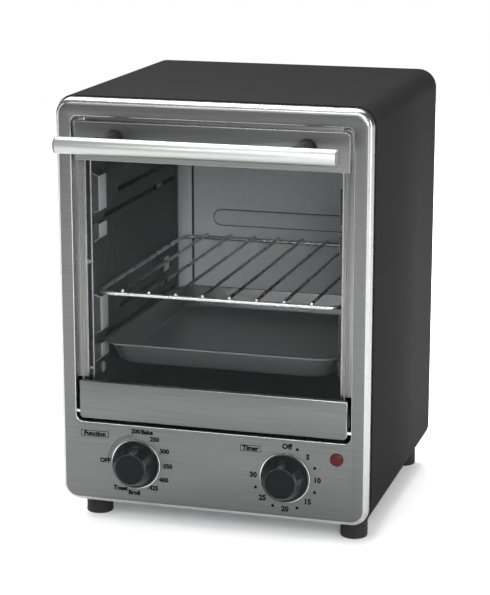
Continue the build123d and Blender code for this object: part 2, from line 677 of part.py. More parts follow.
def spring(side):
    """Extension spring that hangs from an arm's tail down to the base plate."""
    low = BASE_TOP + SPRING_WIRE_R + FIT
    high = PIVOT_Z - ARM_DROP - SPRING_WIRE_R - FIT
    helix = Pos(side * SPRING_X, ARM_TAIL_Y, low) * Helix(SPRING_PITCH, high - low, SPRING_R)
    return sweep(Plane(helix @ 0, z_dir=helix % 0) * Circle(SPRING_WIRE_R), path=helix, is_frenet=True)


def make_handle():
    """Tube across two standoffs, with end caps, held by screws through the top rail."""
    half = HANDLE_HALF - CAP_L
    bore_r = HANDLE_R - HANDLE_WALL
    tube = rod_x(HANDLE_R, -half, half, HANDLE_Y, HANDLE_Z) - rod_x(bore_r, -half, half, HANDLE_Y, HANDLE_Z)
    standoffs = []
    screws = []
    for side in SIDES:
        x = side * STANDOFF_X
        post = rod_y(STANDOFF_R, x, HANDLE_Y, 0, HANDLE_Z)
        post -= rod_x(HANDLE_R, x - 2 * STANDOFF_R, x + 2 * STANDOFF_R, HANDLE_Y, HANDLE_Z)
        post &= block(x - 2 * STANDOFF_R, x + 2 * STANDOFF_R, HANDLE_Y + HANDLE_R / 2, 0, 0, BEZEL_H)
        post -= rod_y(SCREW_R + SCREW_CLEAR, x, HANDLE_Y, PAST, HANDLE_Z)
        standoffs.append(post)
        tip = HANDLE_Y + bore_r - HANDLE_SCREW_IN
        screw = rod_y(SCREW_R, x, tip, RAIL_D, HANDLE_Z)
        screw += rod_y(SCREW_HEAD_R, x, RAIL_D, RAIL_D + SCREW_HEAD_T, HANDLE_Z)
        screws.append(screw)
        tube -= rod_y(SCREW_R, x, HANDLE_Y, 0, HANDLE_Z)
    caps = []
    for side in SIDES:
        cap = rod_x(HANDLE_R, side * half, side * HANDLE_HALF, HANDLE_Y, HANDLE_Z)
        outer_face = cap.faces().sort_by(Axis.X)[-1 if side > 0 else 0]
        cap = fillet(outer_face.edges(), CAP_EDGE)
        cap += rod_x(bore_r, side * (half - CAP_SPIGOT_L), side * (half + CAP_EDGE), HANDLE_Y, HANDLE_Z)
        caps.append(cap)
    save("handle_tube", tube)
    save("handle_standoffs", *standoffs)
    save("handle_screws", *screws)
    save("handle_end_caps", *caps)


def knob(x):
    """A knob tapered from a wide base to its cap, with a raised pointer rib, hollow behind."""
    band_y = -KNOB_GAP - KNOB_BAND
    cap_y = -KNOB_GAP - KNOB_D
    body = rod_y(KNOB_BASE_R, x, band_y, -KNOB_GAP, KNOB_Z)
    taper = Rot(90, 0, 0) * Cone(KNOB_BASE_R, KNOB_CAP_R, band_y - cap_y)
    body += Pos(x, (cap_y + band_y) / 2, KNOB_Z) * taper
    rib = block(x - POINTER_W / 2, x + POINTER_W / 2, cap_y, band_y, KNOB_Z, KNOB_Z + POINTER_R)
    body += rib
    body -= rod_y(KNOB_HOLLOW_R, x, -KNOB_GAP - KNOB_HOLLOW_D, 0, KNOB_Z)
    body -= rod_y(SHAFT_R, x, -KNOB_GAP - KNOB_BORE_D, 0, KNOB_Z)
    return body


def make_controls():
    """Knobs and shafts, the switch and timer behind them, trim rings and the lamp."""
    for x, name in ((FUNCTION_X, "function"), (TIMER_X, "timer")):
        save(f"{name}_knob", knob(x))
        save(f"{name}_shaft", rod_y(SHAFT_R, x, -KNOB_GAP - KNOB_BORE_D, SHEET + SHAFT_BACK, KNOB_Z))
    switch = block(
        FUNCTION_X - SWITCH_W / 2, FUNCTION_X + SWITCH_W / 2, SHEET, SHEET + SWITCH_D,
        KNOB_Z - SWITCH_H / 2, KNOB_Z + SWITCH_H / 2,
    )
    timer = rod_y(TIMER_R, TIMER_X, SHEET, SHEET + TIMER_D, KNOB_Z)
    bodies = []
    nuts = []
    for x, body in ((FUNCTION_X, switch), (TIMER_X, timer)):
        body += rod_y(BUSH_R, x, -BUSH_OUT, SHEET + PAST, KNOB_Z)
        body -= rod_y(SHAFT_R + SHAFT_FIT, x, -BUSH_OUT - PAST, SHEET + SHAFT_BACK + PAST, KNOB_Z)
        bodies.append(body)
        nut = hex_y(NUT_R, x, -NUT_T, 0, KNOB_Z) - rod_y(BUSH_R, x, -NUT_T - PAST, PAST, KNOB_Z)
        nuts.append(nut)
    save("function_switch", bodies[0])
    save("timer_unit", bodies[1])
    save("shaft_nuts", *nuts)
    rings = []
    for x in (FUNCTION_X, TIMER_X):
        ring = rod_y(RING_R, x, -RING_T, 0, KNOB_Z)
        rings.append(ring - rod_y(RING_R - RING_W, x, -RING_T - PAST, PAST, KNOB_Z))
    save("knob_rings", *rings)
    lens = rod_y(LAMP_R, LAMP_X, -LAMP_OUT, 0, LAMP_Z)
    lens = fillet(lens.faces().sort_by(Axis.Y)[0].edges(), LAMP_ROUND)
    lens += rod_y(LAMP_STEM_R, LAMP_X, -LAMP_OUT / 2, LAMP_IN, LAMP_Z)
    save("lamp_lens", lens)
    holder = rod_y(LAMP_HOLDER_R, LAMP_X, SHEET, SHEET + LAMP_HOLDER_L, LAMP_Z)
    holder -= rod_y(LAMP_STEM_R, LAMP_X, 0, LAMP_IN, LAMP_Z)
    save("lamp_holder", holder)


def make_rear_fittings():
    """Cord gland with its flange and bore, and the terminal block."""
    gland = rod_y(GLAND_R, GLAND_X, BODY_D - GLAND_IN, BODY_D + GLAND_OUT, GLAND_Z)
    gland += rod_y(GLAND_FLANGE_R, GLAND_X, BODY_D, BODY_D + GLAND_OUT / 2, GLAND_Z)
    bore_front = BODY_D - GLAND_IN - PAST
    gland -= rod_y(GLAND_BORE_R, GLAND_X, bore_front, BODY_D + GLAND_OUT + PAST, GLAND_Z)
    save("cord_gland", gland)
    rear = BODY_D - BLOCK_FROM_REAR
    terminal = block(
        BLOCK_X - BLOCK_W / 2, BLOCK_X + BLOCK_W / 2, rear - BLOCK_D, rear, BASE_TOP, BASE_TOP + BLOCK_H
    )
    middle_z = BASE_TOP + BLOCK_H / 2
    for step in (-1, 0, 1):
        way_x = BLOCK_X + step * BLOCK_WAY_PITCH
        terminal -= rod_y(BLOCK_WAY_R, way_x, rear - BLOCK_D - PAST, rear + PAST, middle_z)
    save("terminal_block", terminal)


def make_rack():
    """Welded rack: a rounded wire frame with rods laid across it from front to back."""
    frame_outline = RectangleRounded(2 * RACK_HALF, RACK_Y1 - RACK_Y0, RACK_CORNER)
    path = (Pos(0, (RACK_Y0 + RACK_Y1) / 2, RACK_WIRE_Z) * frame_outline).wire()
    section = Plane(path @ 0, z_dir=path % 0) * Circle(RACK_WIRE_R)
    rack = sweep(section, path=path)
    first = -(RACK_ROD_COUNT - 1) / 2 * RACK_ROD_PITCH
    for index in range(RACK_ROD_COUNT):
        x = first + index * RACK_ROD_PITCH
        y0 = RACK_Y0 - RACK_WIRE_R - RACK_ROD_OVER
        rack += rod_y(RACK_ROD_R, x, y0, RACK_Y1 + RACK_ROD_OVER, RACK_ROD_Z)
    save("wire_rack", rack)


def tray_form(inset, z_low, z_high):
    """The tray's tapered well, smaller all round by inset."""
    top_half = TRAY_HALF - TRAY_RIM_W - inset
    top_len = TRAY_L - 2 * TRAY_RIM_W - 2 * inset
    centre = Pos(0, TRAY_Y0 + TRAY_L / 2, 0)
    top = Plane.XY.offset(z_high) * centre * RectangleRounded(2 * top_half, top_len, TRAY_CORNER - inset)
    low = Plane.XY.offset(z_low) * centre * RectangleRounded(
        2 * (top_half - TRAY_SLOPE), top_len - 2 * TRAY_SLOPE, TRAY_CORNER - inset
    )
    return loft([low.face(), top.face()], ruled=True)


def make_tray():
    """Baking tray: a tapered well with a flat rim that hangs on the lower lugs."""
    rim_low = TRAY_RIM_Z - TRAY_T
    floor = TRAY_RIM_Z - TRAY_DEPTH
    rim = RectangleRounded(2 * TRAY_HALF, TRAY_L, TRAY_CORNER + TRAY_RIM_W)
    centre = Pos(0, TRAY_Y0 + TRAY_L / 2, 0)
    tray = extrude(Plane.XY.offset(rim_low) * centre * rim, amount=TRAY_T)
    tray += tray_form(0, floor, TRAY_RIM_Z)
    tray -= tray_form(TRAY_T, floor + TRAY_T, TRAY_RIM_Z + TRAY_T)
    save("baking_tray", tray)


def make_crumb_tray():
    """Shallow tray over the cavity floor, drawn out at the back by its pull."""
    front = CAVITY_FRONT + CRUMB_FRONT_GAP
    tray = block(-CRUMB_HALF, CRUMB_HALF, front, CRUMB_BACK, CRUMB_LOW, CRUMB_TOP)
    tray -= block(
        -CRUMB_HALF + CRUMB_T, CRUMB_HALF - CRUMB_T, front + CRUMB_T, CAVITY_BACK - CRUMB_T,
        CRUMB_LOW + CRUMB_T, CRUMB_TOP + PAST,
    )
    middle = (CRUMB_LOW + CRUMB_TOP) / 2
    half = CRUMB_PULL_H / 2
    pull_y = CRUMB_BACK + CRUMB_PULL_T
    tray += block(-CRUMB_PULL_W / 2, CRUMB_PULL_W / 2, CRUMB_BACK, pull_y, middle - half, middle + half)
    tray += block(
        -CRUMB_PULL_W / 2, CRUMB_PULL_W / 2, pull_y, REAR_MOST, middle + half - CRUMB_PULL_T, middle + half
    )
    save("crumb_tray", tray)


os.makedirs("parts", exist_ok=True)
make_bezel()
make_shell()
make_rear_cover()
make_bulge()
make_base()
make_cavity()
make_jambs()
make_lugs()
make_elements()
make_door()
make_handle()
make_controls()
make_rear_fittings()
make_rack()
make_tray()
make_crumb_tray()
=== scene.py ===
"""Looks of an upright toaster oven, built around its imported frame. Lengths are in metres."""

import logging
import math
from collections.abc import Callable, Sequence
from dataclasses import dataclass
from enum import Enum

import bpy
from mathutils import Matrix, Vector


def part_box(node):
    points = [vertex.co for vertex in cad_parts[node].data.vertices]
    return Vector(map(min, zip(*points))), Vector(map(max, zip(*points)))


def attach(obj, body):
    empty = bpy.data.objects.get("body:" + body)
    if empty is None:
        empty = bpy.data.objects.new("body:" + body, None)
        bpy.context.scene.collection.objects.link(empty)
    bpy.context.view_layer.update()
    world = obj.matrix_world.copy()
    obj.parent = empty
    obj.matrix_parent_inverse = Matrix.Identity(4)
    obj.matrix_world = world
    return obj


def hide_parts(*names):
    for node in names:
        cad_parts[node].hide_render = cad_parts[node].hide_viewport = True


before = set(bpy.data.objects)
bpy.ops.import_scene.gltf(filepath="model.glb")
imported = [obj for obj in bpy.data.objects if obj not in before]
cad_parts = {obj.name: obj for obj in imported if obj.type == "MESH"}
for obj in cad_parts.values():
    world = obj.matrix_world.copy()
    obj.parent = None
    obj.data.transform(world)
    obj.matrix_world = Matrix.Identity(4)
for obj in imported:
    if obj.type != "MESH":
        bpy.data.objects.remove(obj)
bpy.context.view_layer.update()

log = logging.getLogger("toaster_oven")
logging.basicConfig(level=logging.INFO, format="%(message)s")

Tone = tuple[float, float, float]
Place = tuple[float, float, float]
Box = tuple[float, float, float, float]
FaceTest = Callable[[Vector, Vector], bool]
EdgeTest = Callable[[Vector, Vector], bool]
Profile = tuple[tuple[float, float], ...]
NEAR = 1.0e-5
# A face looks along an axis when that share of its normal is past this.
FACING = 0.9
# The flat front faces stay past this, and the rolled edges beside them don't.
FLAT_FRONT = 0.95
# Share of a bar's height that rounds its ends without the two bevels meeting.
ROUND_END = 0.49
SHEET_THICKNESS = 0.001
SIDE_WORDS = {-1: "left", 1: "right"}


# ---- Modelling bench ----------------------------------------------------------------------


def deselect_all() -> None:
    """Clear the selection, which holds the frame's nodes after loading."""
    for item in list(bpy.context.selected_objects):
        item.select_set(False)


def take(piece: bpy.types.Object) -> None:
    """Make one piece the only selected and active object.

    Args:
        piece: The object to work on next.
    """
    deselect_all()
    piece.select_set(True)
    bpy.context.view_layer.objects.active = piece


def settle(piece: bpy.types.Object) -> None:
    """Apply a piece's place, turn and scale to its mesh.

    Args:
        piece: The object whose origin goes back to the row frame's origin.
    """
    take(piece)
    bpy.ops.object.transform_apply(location=True, rotation=True, scale=True)


def start_box(name: str, low: Sequence[float], high: Sequence[float]) -> bpy.types.Object:
    """Add a cube at its size and place.

    Args:
        name: The piece's name.
        low: Lowest corner.
        high: Highest corner.

    Returns:
        The new mesh object.
    """
    deselect_all()
    middle = [(a + b) / 2 for a, b in zip(low, high)]
    size = [b - a for a, b in zip(low, high)]
    bpy.ops.mesh.primitive_cube_add(size=1, location=middle, scale=size)
    piece = bpy.context.object
    piece.name = name
    settle(piece)
    return piece


def start_disc(name: str, centre: Place, radius: float, facing: Place, sides: int) -> bpy.types.Object:
    """Add a filled circle that faces along an axis.

    Args:
        name: The piece's name.
        centre: Middle of the disc.
        radius: Its radius.
        facing: The axis that the disc's normal follows.
        sides: Number of straight sides.

    Returns:
        The new mesh object.
    """
    deselect_all()
    turn = Vector(facing).to_track_quat("Z", "Y").to_euler()
    bpy.ops.mesh.primitive_circle_add(
        vertices=sides, radius=radius, fill_type="NGON", location=centre, rotation=turn
    )
    piece = bpy.context.object
    piece.name = name
    settle(piece)
    return piece


def pick_faces(piece: bpy.types.Object, test: FaceTest) -> int:
    """Enter edit mode with only the faces that pass a test selected.

    Args:
        piece: The mesh object.
        test: Takes a face's centre and normal and says whether it is wanted.

    Returns:
        How many faces are selected.
    """
    take(piece)
    bpy.context.tool_settings.mesh_select_mode = (False, False, True)
    bpy.ops.object.mode_set(mode="EDIT")
    bpy.ops.mesh.select_all(action="DESELECT")
    bpy.ops.object.mode_set(mode="OBJECT")
    chosen = 0
    for face in piece.data.polygons:
        if test(Vector(face.center), Vector(face.normal)):
            face.select = True
            chosen += 1
    bpy.ops.object.mode_set(mode="EDIT")
    return chosen


def pick_edges(piece: bpy.types.Object, test: EdgeTest) -> int:
    """Enter edit mode with only the edges that pass a test selected.

    Args:
        piece: The mesh object.
        test: Takes an edge's two end points and says whether it is wanted.

    Returns:
        How many edges are selected.
    """
    take(piece)
    bpy.context.tool_settings.mesh_select_mode = (False, True, False)
    bpy.ops.object.mode_set(mode="EDIT")
    bpy.ops.mesh.select_all(action="DESELECT")
    bpy.ops.object.mode_set(mode="OBJECT")
    points = piece.data.vertices
    chosen = 0
    for edge in piece.data.edges:
        if test(points[edge.vertices[0]].co, points[edge.vertices[1]].co):
            edge.select = True
            chosen += 1
    bpy.ops.object.mode_set(mode="EDIT")
    return chosen


def leave() -> None:
    """Go back to object mode."""
    bpy.ops.object.mode_set(mode="OBJECT")


def bevel(piece: bpy.types.Object, test: EdgeTest, width: float, segments: int) -> None:
    """Round the edges that pass a test.

    Args:
        piece: The mesh object.
        test: Edge test.
        width: Radius of the round.
        segments: Number of strips in the round.
    """
    if pick_edges(piece, test):
        bpy.ops.mesh.bevel(offset=width, offset_type="OFFSET", segments=segments, affect="EDGES")
    leave()


def drop_faces(piece: bpy.types.Object, test: FaceTest) -> None:
    """Delete the faces that pass a test.

    Args:
        piece: The mesh object.
        test: Face test.
    """
    if pick_faces(piece, test):
        bpy.ops.mesh.delete(type="FACE")
    leave()


def shift_edges(piece: bpy.types.Object, test: EdgeTest, move: Place) -> None:
    """Move the edges that pass a test.

    Args:
        piece: The mesh object.
        test: Edge test.
        move: How far they go.
    """
    if pick_edges(piece, test):
        bpy.ops.transform.translate(value=move)
    leave()


def modify(piece: bpy.types.Object, kind: str, **settings: object) -> None:
    """Add a modifier and apply it at once.

    Args:
        piece: The mesh object.
        kind: Blender's name for the modifier's type.
        **settings: Values set on the modifier.
    """
    take(piece)
    modifier = piece.modifiers.new(kind.title(), kind)
    for key, value in settings.items():
        setattr(modifier, key, value)
    bpy.ops.object.modifier_apply(modifier=modifier.name)


def cut(piece: bpy.types.Object, cutter: bpy.types.Object) -> None:
    """Cut one closed shape out of another and remove the cutter.

    Args:
        piece: The mesh object that is cut.
        cutter: The closed shape taken away.
    """
    modify(piece, "BOOLEAN", operation="DIFFERENCE", object=cutter, solver="EXACT")
    bpy.data.objects.remove(cutter)


def join(name: str, pieces: Sequence[bpy.types.Object]) -> bpy.types.Object:
    """Join loose shapes into one piece.

    Args:
        name: Name of the joined piece.
        pieces: The shapes, of which the first keeps its identity.

    Returns:
        The joined mesh object.
    """
    deselect_all()
    for piece in pieces:
        piece.select_set(True)
    bpy.context.view_layer.objects.active = pieces[0]
    if len(pieces) > 1:
        bpy.ops.object.join()
    pieces[0].name = name
    return pieces[0]


def copy_piece(piece: bpy.types.Object, name: str, move: Place) -> bpy.types.Object:
    """Copy a piece with its own mesh and move the copy.

    Args:
        piece: The piece to repeat.
        name: The copy's name.
        move: How far the copy stands from the original.

    Returns:
        The copy.
    """
    twin = bpy.data.objects.new(name, piece.data.copy())
    bpy.context.scene.collection.objects.link(twin)
    twin.location = move
    settle(twin)
    return twin


def recalculate(piece: bpy.types.Object) -> None:
    """Merge doubles and turn every face outwards.

    Args:
        piece: The mesh object.
    """
    take(piece)
    bpy.ops.object.mode_set(mode="EDIT")
    bpy.ops.mesh.select_all(action="SELECT")
    bpy.ops.mesh.remove_doubles(threshold=NEAR)
    bpy.ops.mesh.normals_make_consistent(inside=False)
    leave()


def turned(
    name: str, centre: Place, facing: Place, profile: Sequence[tuple[float, float]], sides: int = 64
) -> bpy.types.Object:
    """Build a round piece by extruding and resizing a disc along its axis.

    Args:
        name: The piece's name.
        centre: Where the axis starts.
        facing: Unit axis that the piece grows along.
        profile: Pairs of distance along the axis and radius, the first at the start.
        sides: Number of straight sides round the piece.

    Returns:
        The closed mesh object.
    """
    axis = Vector(facing)
    first_distance, radius = profile[0]
    start = Vector(centre) + axis * first_distance
    piece = start_disc(name, tuple(start), radius, facing, sides)
    take(piece)
    bpy.context.tool_settings.mesh_select_mode = (False, False, True)
    bpy.ops.object.mode_set(mode="EDIT")
    bpy.ops.mesh.select_all(action="SELECT")
    reached = first_distance
    for distance, wanted in profile[1:]:
        step = axis * (distance - reached)
        bpy.ops.mesh.extrude_region_move(TRANSFORM_OT_translate={"value": tuple(step)})
        scale = wanted / radius
        middle = Vector(centre) + axis * distance
        bpy.ops.transform.resize(value=(scale, scale, scale), center_override=tuple(middle))
        reached = distance
        radius = wanted
    leave()
    recalculate(piece)
    return piece


def scaled(shape: Profile, length: float, radius: float) -> list[tuple[float, float]]:
    """Size a profile that is given as shares of a length and a radius.

    Args:
        shape: Pairs of share of the length and share of the radius.
        length: The whole length, or 1 where the shape's distances are real ones.
        radius: The whole radius.

    Returns:
        Pairs of distance and radius.
    """
    return [(share * length, width * radius) for share, width in shape]


def eased(radius: float, edge: float) -> list[tuple[float, float]]:
    """Give the first points of a round bar whose end is eased.

    Args:
        radius: The bar's radius.
        edge: How far the end is eased.

    Returns:
        Pairs of distance and radius.
    """
    return [(0, radius - edge), (edge * 0.3, radius - edge * 0.3), (edge, radius)]


def both_ends(tip: list[tuple[float, float]], length: float) -> list[tuple[float, float]]:
    """Give a bar's whole profile from the points of one end.

    Args:
        tip: Pairs of distance and radius from the end inwards.
        length: The bar's length.

    Returns:
        The pairs of both ends.
    """
    return [*tip, *((length - distance, radius) for distance, radius in reversed(tip))]


def smooth(piece: bpy.types.Object, degrees: float = 32.0) -> None:
    """Shade a piece smooth, with creases past an angle.

    Args:
        piece: The mesh object.
        degrees: Angle between faces from which an edge stays sharp.
    """
    take(piece)
    bpy.ops.object.shade_smooth_by_angle(angle=math.radians(degrees))


def along(axis: int) -> EdgeTest:
    """Give a test for straight edges that run along one axis.

    Args:
        axis: 0, 1 or 2 for X, Y or Z.

    Returns:
        The edge test.
    """
    others = [index for index in range(3) if index != axis]
    return lambda a, b: all(abs(a[i] - b[i]) < NEAR for i in others) and abs(a[axis] - b[axis]) > NEAR


def looks_along(axis: int, sign: int = 0) -> FaceTest:
    """Give a test for faces that look along one axis.

    Args:
        axis: 0, 1 or 2 for X, Y or Z.
        sign: 1 or -1 for one way only, 0 for both.

    Returns:
        The face test.
    """
    if sign:
        return lambda centre, normal: normal[axis] * sign > FACING
    return lambda centre, normal: abs(normal[axis]) > FACING


def on_plane(axis: int, value: float) -> EdgeTest:
    """Give a test for edges that lie in one plane.

    Args:
        axis: The plane's normal, 0, 1 or 2.
        value: The plane's place on that axis.

    Returns:
        The edge test.
    """
    return lambda a, b: abs(a[axis] - value) < NEAR and abs(b[axis] - value) < NEAR


# ---- Finishes -----------------------------------------------------------------------------


class Pattern(Enum):
    """How a finish varies over a surface."""

    BRUSHED = "fine parallel scratches"
    GRAINED = "fine even texture"
    SPECKLED = "small pale specks"
    SPANGLED = "crystal patches"
    MOTTLED = "soft uneven patches"


BUMP_STRENGTH = 0.6
# Where the pattern's two tones begin and end, as shares of its range.
SPECK_STOPS = (0.1, 0.22)
NOISE_STOPS = (0.3, 0.7)


def settle_inputs(node: bpy.types.Node, values: dict[str, object]) -> None:
    """Set several of a node's inputs.

    Args:
        node: The node.
        values: The value of each input by its name.
    """
    for name, value in values.items():
        node.inputs[name].default_value = value


@dataclass(frozen=True)
class Finish:
    """A surface finish and the procedural material that shows it.

    The tone and shade are the two colours that the pattern runs between. The grain is the
    pattern's scale along each axis, and the relief is the height of its bump.
    """

    name: str
    slot: str
    tone: Tone
    shade: Tone
    pattern: Pattern
    grain: Tone
    roughness: tuple[float, float] = (0.4, 0.5)
    relief: float = 0.00002
    metallic: float = 0.0
    specular: float = 0.5
    coat: float = 0.0
    coat_roughness: float = 0.1
    alpha: float = 1.0
    anisotropic: float = 0.0

    def material(self) -> bpy.types.Material:
        """Build the material, or find it where it already exists.

        Returns:
            The material.
        """
        found = bpy.data.materials.get(self.name)
        if found:
            return found
        made = bpy.data.materials.new(self.name)
        made.use_nodes = True
        nodes = made.node_tree.nodes
        links = made.node_tree.links
        shader = nodes["Principled BSDF"]
        settle_inputs(shader, {
            "Metallic": self.metallic, "Specular IOR Level": self.specular, "Coat Weight": self.coat,
            "Coat Roughness": self.coat_roughness, "Alpha": self.alpha, "Anisotropic": self.anisotropic,
        })
        value = self.pattern_value(nodes, links)
        colour = nodes.new("ShaderNodeMix")
        colour.data_type = "RGBA"
        settle_inputs(colour, {"A": (*self.tone, 1), "B": (*self.shade, 1)})
        links.new(value, colour.inputs["Factor"])
        links.new(colour.outputs["Result"], shader.inputs["Base Color"])
        spread = nodes.new("ShaderNodeMapRange")
        settle_inputs(spread, {"To Min": self.roughness[0], "To Max": self.roughness[1]})
        links.new(value, spread.inputs["Value"])
        links.new(spread.outputs["Result"], shader.inputs["Roughness"])
        bump = nodes.new("ShaderNodeBump")
        settle_inputs(bump, {"Strength": BUMP_STRENGTH, "Distance": self.relief})
        links.new(value, bump.inputs["Height"])
        links.new(bump.outputs["Normal"], shader.inputs["Normal"])
        return made

    def pattern_value(
        self, nodes: bpy.types.Nodes, links: bpy.types.NodeLinks
    ) -> bpy.types.NodeSocket:
        """Add the nodes that draw the pattern as a value from 0 to 1.

        Args:
            nodes: The material's nodes.
            links: The material's links.

        Returns:
            The socket that carries the value.
        """
        where = nodes.new("ShaderNodeTexCoord")
        mapping = nodes.new("ShaderNodeMapping")
        mapping.inputs["Scale"].default_value = self.grain
        links.new(where.outputs["Object"], mapping.inputs["Vector"])
        if self.pattern in (Pattern.SPECKLED, Pattern.SPANGLED):
            cells = nodes.new("ShaderNodeTexVoronoi")
            cells.inputs["Scale"].default_value = 1.0
            links.new(mapping.outputs["Vector"], cells.inputs["Vector"])
            ramp = nodes.new("ShaderNodeValToRGB")
            if self.pattern is Pattern.SPECKLED:
                links.new(cells.outputs["Distance"], ramp.inputs["Fac"])
                for stop, place, level in zip(ramp.color_ramp.elements, SPECK_STOPS, (1, 0)):
                    stop.position = place
                    stop.color = (level, level, level, 1)
            else:
                links.new(cells.outputs["Color"], ramp.inputs["Fac"])
            return ramp.outputs["Color"]
        noise = nodes.new("ShaderNodeTexNoise")
        settle_inputs(noise, {"Scale": 1.0, "Detail": 3.0, "Roughness": 0.6})
        links.new(mapping.outputs["Vector"], noise.inputs["Vector"])
        ramp = nodes.new("ShaderNodeValToRGB")
        for stop, place in zip(ramp.color_ramp.elements, NOISE_STOPS):
            stop.position = place
        links.new(noise.outputs["Fac"], ramp.inputs["Fac"])
        return ramp.outputs["Color"]


def even(scale: float) -> Tone:
    """Give a grain that is the same along each axis."""
    return (scale, scale, scale)


BRUSHED_STEEL = Finish(
    "brushed_steel_finish", "brushed_steel", (0.105, 0.1075, 0.106), (0.088, 0.0905, 0.089), Pattern.BRUSHED,
    (14, 1500, 1500), roughness=(0.30, 0.42), relief=0.00001, metallic=1.0, anisotropic=0.5,
)
# Painted highlight: a much brighter copy of the brushed steel, laid on rolled edges, lips and hems so that
# they read as bright lines.
ROLLED_EDGE_HIGHLIGHT = Finish(
    "rolled_edge_painted_highlight", "brushed_steel", (0.34, 0.344, 0.34), (0.31, 0.314, 0.31), Pattern.MOTTLED,
    even(220), roughness=(0.26, 0.32), relief=0.000004, metallic=1.0,
)
SATIN_TUBE = Finish(
    "satin_tube_finish", "satin_tube", (0.31, 0.314, 0.31), (0.29, 0.294, 0.29), Pattern.BRUSHED,
    (60, 1800, 1800), roughness=(0.42, 0.47), relief=0.000001, metallic=1.0,
)
BLACK_PAINT = Finish(
    "black_shell_paint", "black_paint", (0.0135, 0.0135, 0.0137), (0.0165, 0.0165, 0.0167), Pattern.GRAINED,
    even(900), roughness=(0.52, 0.60), relief=0.00002, specular=0.005,
)
JAMB_STEEL = Finish(
    "jamb_steel_finish", "dark_steel", (0.17, 0.167, 0.164), (0.145, 0.142, 0.14), Pattern.BRUSHED,
    (700, 700, 12), roughness=(0.32, 0.45), relief=0.00001, metallic=1.0,
)
CAVITY_COAT = Finish(
    "cavity_grey_coat", "cavity_steel", (0.02, 0.0215, 0.0215), (0.016, 0.0175, 0.0175), Pattern.MOTTLED,
    even(160), roughness=(0.42, 0.55), relief=0.00003, specular=0.1,
)
# Painted light: the lugs are pressed from the dark-coated side walls, and their flat faces get this much
# lighter copy where light through the door falls on them.
LUG_LIT_STEEL = Finish(
    "lug_painted_lit_steel", "cavity_steel", (0.38, 0.41, 0.40), (0.33, 0.36, 0.35), Pattern.MOTTLED,
    even(240), roughness=(0.30, 0.40), relief=0.00001, metallic=0.4,
)
# Painted light: the cavity's coat, painted much lighter on the back wall and its emboss, where light through
# the door falls.
BACK_LIT_COAT = Finish(
    "back_panel_painted_lit_coat", "cavity_steel", (0.37, 0.40, 0.405), (0.34, 0.37, 0.375), Pattern.MOTTLED,
    even(140), roughness=(0.42, 0.52), relief=0.00003, specular=0.5,
)
# Painted shade: a dark coat for thin strips laid where pressed lines, the emboss's edge and the back corners
# cast shade.
SHADOW_COAT = Finish(
    "painted_shade_coat", "cavity_steel", (0.012, 0.013, 0.013), (0.016, 0.017, 0.017), Pattern.MOTTLED,
    even(160), roughness=(0.5, 0.6), relief=0.00002, specular=0.2,
)
GALVANISED = Finish(
    "galvanised_sheet", "galvanised", (0.5, 0.52, 0.54), (0.38, 0.4, 0.42), Pattern.SPANGLED,
    even(130), roughness=(0.35, 0.5), relief=0.00001, metallic=0.9,
)
RUBBER = Finish(
    "foot_rubber", "rubber", (0.016, 0.016, 0.0165), (0.022, 0.022, 0.0225), Pattern.GRAINED,
    even(1400), roughness=(0.6, 0.75), relief=0.00004, specular=0.12,
)
ZINC = Finish(
    "zinc_plate", "zinc_screw", (0.66, 0.67, 0.66), (0.52, 0.53, 0.53), Pattern.MOTTLED,
    even(700), roughness=(0.22, 0.38), relief=0.00001, metallic=1.0,
)
CHROME_TRIM = Finish(
    "chrome_trim_finish", "chrome_trim", (0.42, 0.425, 0.425), (0.36, 0.365, 0.365), Pattern.MOTTLED,
    even(400), roughness=(0.08, 0.16), relief=0.000004, metallic=1.0,
)
RED_LENS = Finish(
    "red_lens_finish", "red_lens", (0.052, 0.010, 0.012), (0.034, 0.007, 0.008), Pattern.GRAINED,
    even(1100), roughness=(0.3, 0.4), relief=0.00003, specular=0.08,
)
BLACK_PLASTIC = Finish(
    "black_moulded_plastic", "black_plastic", (0.006, 0.006, 0.0062), (0.009, 0.009, 0.0092), Pattern.GRAINED,
    even(1600), roughness=(0.42, 0.55), relief=0.00002, specular=0.12,
)
GREY_PLASTIC = Finish(
    "cap_grey_plastic", "grey_plastic", (0.07, 0.07, 0.07), (0.055, 0.055, 0.056), Pattern.GRAINED,
    even(1600), roughness=(0.4, 0.5), relief=0.00002, specular=0.5,
)
KNOB_PLASTIC = Finish(
    "knob_gloss_black", "gloss_black", (0.005, 0.0055, 0.0065), (0.007, 0.0075, 0.0085), Pattern.GRAINED,
    even(900), roughness=(0.16, 0.24), relief=0.000003, specular=0.2, coat=0.08, coat_roughness=0.08,
)
KNOB_CAP = Finish(
    "knob_cap_satin", "gloss_black", (0.0035, 0.0042, 0.0056), (0.005, 0.0058, 0.0072), Pattern.GRAINED,
    even(1300), roughness=(0.34, 0.44), relief=0.00001, specular=0.07,
)
CHROME_WIRE = Finish(
    "rack_wire_plate", "chrome_wire", (0.46, 0.46, 0.46), (0.43, 0.43, 0.432), Pattern.MOTTLED,
    even(90), roughness=(0.26, 0.3), relief=0.0000005, metallic=1.0,
)
TRAY_COAT = Finish(
    "tray_nonstick_coat", "tray_enamel", (0.075, 0.075, 0.077), (0.19, 0.19, 0.195), Pattern.SPECKLED,
    even(700), roughness=(0.28, 0.22), relief=0.00001, metallic=0.6,
)
CLEAR_GLASS = Finish(
    "clear_door_glass", "clear_glass", (0.02, 0.024, 0.024), (0.024, 0.028, 0.028), Pattern.MOTTLED,
    even(12), roughness=(0.02, 0.05), relief=0.000001, specular=0.5, alpha=0.06,
)
